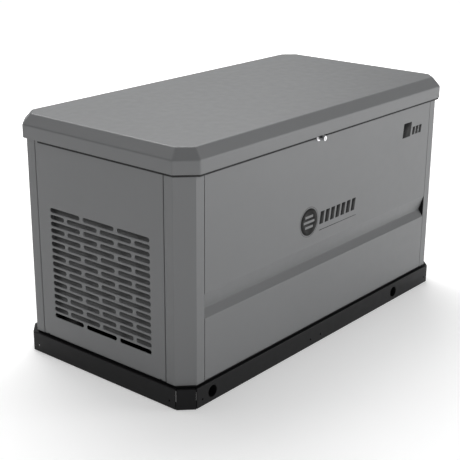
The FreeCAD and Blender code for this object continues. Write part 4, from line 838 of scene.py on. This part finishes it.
def foam_pad(name, slabs, cut, flat, body, nodes):
    """Padded slabs; each is (low, high, across) with ACROSS the axis of its thickness. FLAT is the
    glued side, -1 or 1 along that axis. CUT takes the corners off."""
    bm = bmesh.new()
    for low, high, across in slabs:
        axes = [a for a in range(3) if a != across]
        size = [high[a] - low[a] for a in axes]
        steps = [max(4, int(s / (16 * MM))) for s in size]
        made = bmesh.new()

        def spread(first, second, through):
            """First and second along the slab, the third through its thickness."""
            return (first, through, second) if across == 1 else (first, second, through)

        bmesh.ops.create_grid(made, x_segments=steps[0], y_segments=steps[1], size=0.5)
        for v in made.verts:
            v.co = spread(low[axes[0]] + (v.co.x + 0.5) * size[0], low[axes[1]] + (v.co.y + 0.5) * size[1],
                          low[across])
        middle = [(low[a] + high[a]) / 2 for a in range(3)]
        for sx, sy in CORNERS if cut else ():
            at = list(middle)
            at[axes[0]] += sx * (size[0] / 2 - cut)
            at[axes[1]] += sy * size[1] / 2
            split(made, at, spread(sx, sy, 0.0), True)
        drawn(made, made.faces[:], spread(0.0, 0.0, high[across] - low[across]))
        bmesh.ops.recalc_face_normals(made, faces=made.faces)
        rim = [e for e in made.edges if len(e.link_faces) == 2
               and e.link_faces[0].normal.dot(e.link_faces[1].normal) < 0.3
               and abs(e.verts[0].co[across] - e.verts[1].co[across]) < MM]
        softened(made, rim, 3.6 * MM)
        face = high[across] if flat < 0 else low[across]
        for v in made.verts:
            if abs(v.co[across] - face) < 0.4 * MM:
                inset = min(min(v.co[a] - low[a], high[a] - v.co[a]) for a in axes)
                swell = 0.5 + 0.5 * math.cos(v.co[axes[0]] / (58 * MM)) * math.cos(v.co[axes[1]] / (46 * MM))
                slack = 1.7 * MM * (1 - 0.72 * swell) + 1.2 * MM * math.exp(-inset / (10 * MM))
                v.co[across] += slack * flat
        merged(bm, made)
    piece(name, bm, foam.made, nodes, body)


foam_low, foam_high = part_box("lid_foam")
PAD_GAP = 0.4 * MM
foam_pad("lid_foam_pad", [((foam_low.x + PAD_GAP, foam_low.y + PAD_GAP, foam_low.z + PAD_GAP),
                           (foam_high.x - PAD_GAP, foam_high.y - PAD_GAP, foam_high.z - PAD_GAP), 2)],
         22 * MM, 1, "lid", ["lid_foam"])
pad_low, pad_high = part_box("panel_foam")
SPLIT = (360 * MM, 388 * MM)
foam_pad("panel_foam_pads", [((x0 + PAD_GAP, pad_low.y + PAD_GAP, pad_low.z + PAD_GAP),
                              (x1 - PAD_GAP, pad_high.y - PAD_GAP, pad_high.z - PAD_GAP), 1)
                             for x0, x1 in ((pad_low.x, SPLIT[0]), (SPLIT[1], pad_high.x))],
         0, -1, "enclosure", ["panel_foam"])

# ---- engine ----
# An air-cooled V-twin: die-cast aluminium case, finned cylinders and heads, black pressed rocker
# covers, an iron crankshaft and flywheel, and a black blower housing with a wire guard.
castings = metal("cast_aluminium", (0.40, 0.405, 0.41), 0.46, 60.0, 520.0, 0.22 * MM, 0.92)
iron = metal("turned_iron", (0.20, 0.195, 0.19), 0.36, 140.0, 260.0, 0.06 * MM)
finished(["crankcase", "cylinder_heads", "cylinders"], castings, 0.6 * MM, 35.0)
finished(["crankshaft", "flywheel"], iron, 0.4 * MM)
finished(["rocker_covers", "blower_housing", "starter_motor"], black_paint, 0.8 * MM, 35.0)
filter_paint = powder_coat("filter_can_paint", (0.30, 0.31, 0.32), 0.3, 0.1, 0.5)
finished(["oil_filter"], filter_paint, 0.8 * MM)

CRANK_Z = 262.0 * MM
COS45 = math.sqrt(0.5)
BANKS = ((-1, -88.0 * MM), (1, -44.0 * MM))
HEAD_BASE, HEAD_MID, HEAD_TOP, HEAD_HALF = 175 * MM, 205 * MM, 235 * MM, 56 * MM
ROCKER_TOP = HEAD_TOP + 33 * MM


def on_bank(side, x, out, up):
    """A point OUT from the bank's own middle plane, on its outer side, and UP from the crank axis."""
    return Vector((x, side * (out + up) * COS45, CRANK_Z + (up - out) * COS45))


def bank_up(side):
    return Vector((0, side * COS45, COS45))


def bank_out(side):
    return Vector((0, side * COS45, -COS45))


cover_spots = [(on_bank(side, x + dx * MM, dy * MM, ROCKER_TOP), bank_up(side), 5 * MM)
               for side, x in BANKS for dx in (-36, 36) for dy in (-28, 28)]
fasteners("rocker_cover_bolts", hex_bolt, cover_spots)

porcelain = Paint("white_porcelain")
porcelain.vary("Base Color", [(0.3, (0.74, 0.73, 0.70)), (0.7, (0.80, 0.79, 0.77))], 40.0)
porcelain.set("Roughness", 0.18)
porcelain.grain(porcelain.noise(300.0), 0.1, 0.03 * MM)


def lathe(name, spots, profile, finish, steps=28):
    """Spin PROFILE, (radius, height) pairs in millimetres, at each of SPOTS, (place, direction)."""
    bm = bmesh.new()
    for spot, direction in spots:
        verts = [bm.verts.new((r * MM, 0, z * MM)) for r, z in profile]
        edges = [bm.edges.new(pair) for pair in zip(verts, verts[1:])]
        spun = bmesh.ops.spin(bm, geom=verts + edges, cent=(0, 0, 0), axis=(0, 0, 1), angle=2 * math.pi,
                              steps=steps, use_merge=True)
        stack = [v for v in verts + points_in(spun["geom_last"]) if v.is_valid]
        seen = set(stack)
        while stack:
            joined = {v for edge in stack.pop().link_edges for v in edge.verts} - seen
            seen |= joined
            stack += joined
        turned_to(bm, list(seen), spot, direction)
    cleaned(bm)
    edged(piece(name, bm, finish), 0.25 * MM, 35.0)


def bolt_circle(centre, level, radius, count, first, direction, size):
    """COUNT fasteners round CENTRE, from FIRST degrees above the way LEVEL points."""
    spots = []
    for i in range(count):
        a = math.radians(first + i * 360 // count)
        across = radius * math.cos(a)
        spots.append((Vector((centre[0] + level[0] * across, centre[1] + level[1] * across,
                              centre[2] + radius * math.sin(a))), direction, size))
    return spots


plug_spots = [(on_bank(side, x, HEAD_HALF - 11 * MM, HEAD_MID), bank_out(side)) for side, x in BANKS]
plug_profile = [(0.0, 0.0), (4.6, 0.0), (4.6, 3.0), (9.0, 3.0), (9.0, 10.0), (6.0, 11.0), (5.2, 13.0),
                (5.2, 22.0), (4.4, 24.0), (2.4, 24.5), (2.4, 27.0), (0.0, 27.0)]
lathe("spark_plugs", plug_spots, plug_profile, porcelain.made)
boot_profile = [(0.0, 16.0), (7.6, 16.0), (8.0, 19.0), (7.4, 24.0), (7.8, 30.0), (6.4, 40.0), (4.4, 45.0),
                (0.0, 45.5)]
lathe("plug_boots", plug_spots, boot_profile, soft_black)

# The wire guard over the blower's inlet: round wires on four spokes, welded and zinc plated.
GUARD_X, GUARD_WIDTH = -297.0 * MM, 190 * MM
WIRE = 1.3 * MM
GUARD_RINGS = (18, 34, 50, 66, 82, 94)
bm = bmesh.new()
tip = Matrix.Rotation(math.radians(90), 4, "X")
for radius in GUARD_RINGS:
    spine = bmesh.ops.create_circle(bm, cap_ends=False, segments=8, radius=WIRE)["verts"]
    bmesh.ops.transform(bm, matrix=Matrix.Translation((radius * MM, 0, 0)) @ tip, verts=spine)
    edges = list({e for v in spine for e in v.link_edges})
    bmesh.ops.spin(bm, geom=spine + edges, cent=(0, 0, 0), axis=(0, 0, 1), angle=2 * math.pi, steps=56,
                   use_merge=True)
for i in range(4):
    spoke = cone(bm, 8, WIRE, WIRE, GUARD_WIDTH)
    turn = Matrix.Rotation(i * math.pi / 4, 4, "Z") @ tip
    bmesh.ops.transform(bm, matrix=Matrix.Translation((0, 0, 1.8 * MM)) @ turn, verts=spoke)
bmesh.ops.transform(bm, verts=bm.verts, matrix=Matrix.Translation((GUARD_X, 0, CRANK_Z))
                    @ Matrix.Rotation(math.radians(90), 4, "Y"))
cleaned(bm)
piece("blower_guard", bm, zinc)

fasteners("blower_screws", hex_bolt,
          bolt_circle((-288 * MM, 0, CRANK_Z), (0, 1), 148 * MM, 4, 45, (-1, 0, 0), 4 * MM))

yellow = powder_coat("yellow_moulding", (0.72, 0.43, 0.015), 0.38, 0.12, 0.45)
finished(["dipstick"], yellow, 0.6 * MM)

# ---- intake ----
# A cast mixer and two runners under a black moulded air cleaner, whose dome is held by a ribbed
# knob on a stud.
mould_black = powder_coat("black_moulding", (0.0125, 0.0125, 0.013), 0.44, 0.25, 0.4)
finished(["intake_manifold"], castings, 0.5 * MM, 35.0)
finished(["throttle_arm"], zinc, 0.3 * MM)
finished(["air_cleaner"], mould_black, 0.8 * MM, 35.0)
KNOB_X, KNOB_Y, DOME_TOP = -66 * MM, 22 * MM, 594.6 * MM
KNOB_POINTS = 48
bm = bmesh.new()
knob = cone(bm, KNOB_POINTS, 15 * MM, 13 * MM, 12 * MM)
for v in knob:
    turn = round(math.atan2(v.co.y, v.co.x) / (2 * math.pi) * KNOB_POINTS)
    if turn % 4 < 2:
        v.co.xy *= 0.9
bmesh.ops.translate(bm, verts=knob, vec=(KNOB_X, KNOB_Y, DOME_TOP + 6.4 * MM))
edged(piece("air_cleaner_knob", bm, mould_black), 1.0 * MM, 30.0, 3)

# ---- exhaust ----
# Two steel pipes from the heads through the firewall to a cross-mounted can, and a tailpipe out of
# the right-hand end. The steel is straw and blue near the heads and grey at the can.
hot_steel = Paint("heat_tinted_steel")
mixed = hot_steel.nodes.new("ShaderNodeMath")
mixed.operation = "MULTIPLY_ADD"
mixed.inputs[1].default_value = 0.22
hot_steel.link(hot_steel.noise(14.0, 4.0), mixed.inputs[0])
hot_steel.link(hot_steel.along("X", -0.03, 0.46), mixed.inputs[2])
hot_steel.ramp("Base Color", mixed.outputs["Value"],
               [(0.1, (0.20, 0.22, 0.30)), (0.28, (0.26, 0.17, 0.22)), (0.42, (0.42, 0.28, 0.13)),
                (0.62, (0.46, 0.40, 0.30)), (0.9, (0.36, 0.35, 0.33))])
hot_steel.vary("Roughness", [(0.3, 0.34), (0.7, 0.52)], 55.0, 4.0)
hot_steel.set("Metallic", 0.95)
hot_steel.grain(hot_steel.noise(300.0), 0.25, 0.08 * MM)
finished(["exhaust_pipes", "muffler"], hot_steel.made, 0.5 * MM, 35.0)
finished(["firewall"], zinc, 0.3 * MM)
FLANGE_X, FLANGE_BOLT = HEAD_HALF + 7 * MM, 20 * MM
fasteners("exhaust_flange_bolts", hex_bolt,
          [(on_bank(side, x + FLANGE_X, up * FLANGE_BOLT, HEAD_MID), (1, 0, 0), 4.2 * MM)
           for side, x in BANKS for up in (-1, 1)])
CAN_X, CAN_FOOT_Y, CAN_FOOT_TOP = 488 * MM, (-106, 124), 60 * MM
fasteners("muffler_foot_bolts", hex_bolt,
          [((CAN_X + s * 24 * MM, y * MM, CAN_FOOT_TOP), (0, 0, 1), 5 * MM)
           for s in (-1, 1) for y in CAN_FOOT_Y])

# ---- alternator ----
# A black painted stator with cast end bells and an iron rotor on the engine's shaft, on the same
# cradle as the engine and four rubber isolators.
finished(["alternator_stator", "engine_bed"], black_paint, 0.5 * MM, 35.0)
finished(["alternator_bells"], castings, 0.6 * MM, 35.0)
finished(["alternator_rotor"], iron, 0.5 * MM, 35.0)
finished(["vibration_mounts"], soft_black, 1.5 * MM)
fasteners("end_bell_bolts", hex_bolt,
          bolt_circle((308 * MM, 0, CRANK_Z), (0, 1), 106 * MM, 4, 22.5, (1, 0, 0), 4.5 * MM))
MOUNT_X, MOUNT_Y, BED_TOP = (-146, 273), 130 * MM, 128 * MM
fasteners("isolator_bolts", hex_bolt,
          [(Vector((x * MM, s * MOUNT_Y, BED_TOP)), (0, 0, 1), 8 * MM) for x in MOUNT_X for s in (-1, 1)])
BOX_X, BOX_TOP, BOX_SCREW = 133 * MM, 416 * MM, 27 * MM
fasteners("terminal_box_screws", button_screw,
          [((BOX_X + s * BOX_SCREW, t * BOX_SCREW, BOX_TOP), (0, 0, 1), 3.5 * MM)
           for s in (-1, 1) for t in (-1, 1)])

# ---- fuel train ----
# A brass-coloured inlet at the back, a quarter-turn valve with a red lever, and a cast demand
# regulator with a black shut-off coil, joined to the mixer by a rubber hose.
COIL_FOOT = 0.2925       # the black coil starts at this height
regulator = Paint("regulator_castings")
step = regulator.nodes.new("ShaderNodeMath")
step.operation = "GREATER_THAN"
step.inputs[1].default_value = COIL_FOOT
regulator.link(regulator.coordinate("Z"), step.inputs[0])
regulator.ramp("Base Color", step.outputs["Value"],
               [(0.45, (0.42, 0.41, 0.39)), (0.55, (0.016, 0.016, 0.017))])
regulator.ramp("Metallic", step.outputs["Value"], [(0.45, 0.95), (0.55, 0.0)])
regulator.vary("Roughness", [(0.3, 0.4), (0.7, 0.55)], 70.0, 4.0)
regulator.grain(regulator.noise(520.0, 3.0), 0.3, 0.2 * MM)
finished(["fuel_train"], regulator.made, 0.5 * MM, 35.0)
finished(["fuel_hose"], soft_black, 0)
red = powder_coat("red_moulding", (0.42, 0.012, 0.010), 0.36, 0.12, 0.45)
finished(["fuel_valve_lever"], red, 0.6 * MM)
fasteners("regulator_screws", hex_bolt,
          bolt_circle((180 * MM, 180 * MM, 242 * MM), (1, 0), 40 * MM, 6, 30, (0, -1, 0), 3.4 * MM))
clamp_spots = [(Vector((180, 202, 332)) * MM, (0, 0, 1)), (Vector((-10, 0, 512.6)) * MM, (-1, 0, 0))]
clamp_band = [(8.1, -4.5), (9.3, -4.5), (9.3, 4.5), (8.1, 4.5), (8.1, -4.5)]
lathe("hose_clamps", clamp_spots, clamp_band, zinc, 40)

# ---- battery ----
# A moulded starting battery in a black tray: dark case, grey lid with six cell caps, lead posts and
# a strap across the lid.
BATTERY_SPAN = 0.3       # height over which the colours are laid out
CASE_LINE, POST_LINE = 0.236 / BATTERY_SPAN, 0.2482 / BATTERY_SPAN
LID_GREY = (0.15, 0.155, 0.16)
battery_case = Paint("battery_moulding")
battery_case.ramp("Base Color", battery_case.along("Z", 0.0, BATTERY_SPAN),
                  [(CASE_LINE - 0.001, (0.014, 0.014, 0.015)), (CASE_LINE + 0.001, LID_GREY),
                   (POST_LINE - 0.001, LID_GREY), (POST_LINE + 0.001, (0.30, 0.30, 0.31))])
battery_case.vary("Roughness", [(0.3, 0.36), (0.7, 0.5)], 60.0, 4.0)
battery_case.grain(battery_case.noise(700.0), 0.25, 0.08 * MM)
finished(["battery"], battery_case.made, 0.8 * MM)
battery_low, battery_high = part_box("battery")
CAP_FIRST, CAP_PITCH, CAP_Y, LID_TOP = battery_low.x + 42 * MM, 27 * MM, battery_low.y + 52 * MM, 248 * MM
cap_profile = [(0.0, 0.0), (9.5, 0.0), (9.5, 2.6), (8.6, 3.4), (4.5, 3.6), (4.0, 2.8), (0.0, 2.8)]
lathe("cell_caps", [((CAP_FIRST + i * CAP_PITCH, CAP_Y, LID_TOP), (0, 0, 1)) for i in range(6)], cap_profile,
      mould_black, 32)
STRAP_HALF, STRAP_GAP = 14 * MM, 7.4 * MM
STRAP_LOW, STRAP_HIGH = 84 * MM, 249.4 * MM
strap_left = (battery_low.x + battery_high.x) / 2 - STRAP_HALF
near, far = battery_low.y + STRAP_GAP, battery_high.y - STRAP_GAP
bm = bmesh.new()
strip(bm, [(strap_left, near, STRAP_LOW), (strap_left, near, STRAP_HIGH), (strap_left, far, STRAP_HIGH),
           (strap_left, far, STRAP_LOW)], (2 * STRAP_HALF, 0, 0), 6 * MM)
facing(bm, (0, 0, 1))
strap = piece("battery_strap", bm, soft_black)
wall = strap.modifiers.new("thickness", "SOLIDIFY")
wall.thickness = 1.2 * MM
wall.offset = 1.0
edged(strap, 0.3 * MM)

# ---- control box ----
# A folded steel box with a sloping grey panel: a dark display window, three push buttons, three
# small lenses, a breaker with its toggle and four panel screws. Nothing on it is lettered.
finished(["control_box"], black_paint, 0.4 * MM)
panel_grey = powder_coat("panel_moulding", (0.115, 0.118, 0.122), 0.42, 0.15, 0.35)
finished(["control_panel"], panel_grey, 0.4 * MM)
finished(["breaker"], mould_black, 0.5 * MM)
toggle_grey = powder_coat("toggle_moulding", (0.42, 0.42, 0.41), 0.4, 0.1, 0.4)
finished(["breaker_toggle"], toggle_grey, 0.6 * MM)
finished(["button_off"], red, 0.7 * MM)
green = powder_coat("green_moulding", (0.02, 0.22, 0.05), 0.36, 0.12, 0.45)
finished(["button_auto"], green, 0.7 * MM)
blue = powder_coat("blue_moulding", (0.02, 0.07, 0.33), 0.36, 0.12, 0.45)
finished(["button_manual"], blue, 0.7 * MM)
box_low, box_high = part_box("control_box")
SLOPE_RUN, SLOPE_RISE = 90.0, 88.0
SLOPE = math.hypot(SLOPE_RUN, SLOPE_RISE)
PANEL_UP = Vector((0, SLOPE_RUN / SLOPE, SLOPE_RISE / SLOPE))
PANEL_OUT = Vector((0, -SLOPE_RISE / SLOPE, SLOPE_RUN / SLOPE))
PANEL_MIDDLE = Vector(((box_low.x + box_high.x) / 2, box_low.y + 45 * MM, box_high.z - 44 * MM))


def on_panel(u, v, out):
    return PANEL_MIDDLE + Vector((1, 0, 0)) * u * MM + PANEL_UP * v * MM + PANEL_OUT * out * MM


glass = Paint("display_window")
glass.vary("Base Color", [(0.3, (0.006, 0.010, 0.010)), (0.7, (0.010, 0.016, 0.014))], 25.0)
glass.vary("Roughness", [(0.3, 0.06), (0.7, 0.12)], 80.0)
glass.set("Specular IOR Level", 0.6)
glass.grain(glass.noise(200.0), 0.05, 0.02 * MM)
WINDOW = ((-66, 8), (-2, 8), (-2, 40), (-66, 40))
bm = bmesh.new()
corners = [bm.verts.new(on_panel(u, v, 2.05)) for u, v in WINDOW]
face = bm.faces.new(corners)
if face.normal.dot(PANEL_OUT) < 0:
    face.normal_flip()
bmesh.ops.inset_region(bm, faces=[face], thickness=1.2 * MM, depth=0.7 * MM)
piece("display_glass", bm, glass.made)
LENS_LEFT, LENS_RIGHT = PANEL_MIDDLE.x + 2 * MM, PANEL_MIDDLE.x + 24 * MM
lens = Paint("indicator_lens")
lens.ramp("Base Color", lens.along("X", LENS_LEFT, LENS_RIGHT),
          [(0.2, (0.45, 0.02, 0.015)), (0.5, (0.55, 0.32, 0.02)), (0.8, (0.03, 0.36, 0.06))])
lens.vary("Roughness", [(0.3, 0.12), (0.7, 0.2)], 90.0)
lens.grain(lens.noise(500.0), 0.1, 0.02 * MM)
lens_profile = [(0.0, 0.0), (2.3, 0.0), (2.3, 0.9), (1.8, 1.7), (0.9, 2.1), (0.0, 2.2)]
lathe("indicator_lenses", [(on_panel(u, 36, 3.0), PANEL_OUT) for u in (6.5, 13.0, 19.5)], lens_profile,
      lens.made, 20)
fasteners("control_panel_screws", button_screw,
          [(on_panel(u, v, 3.0), PANEL_OUT, 3.4 * MM) for u in (-86, 86) for v in (-52, 52)])

# ---- leads ----
# Stranded copper in black rubber sleeves: the starter cable from the battery's plus post and the
# output harness from the alternator to the control box.
lead_sleeve = rubber("lead_sleeve", (0.017, 0.017, 0.018), 420.0)
finished(["wiring"], lead_sleeve, 0)

low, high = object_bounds()
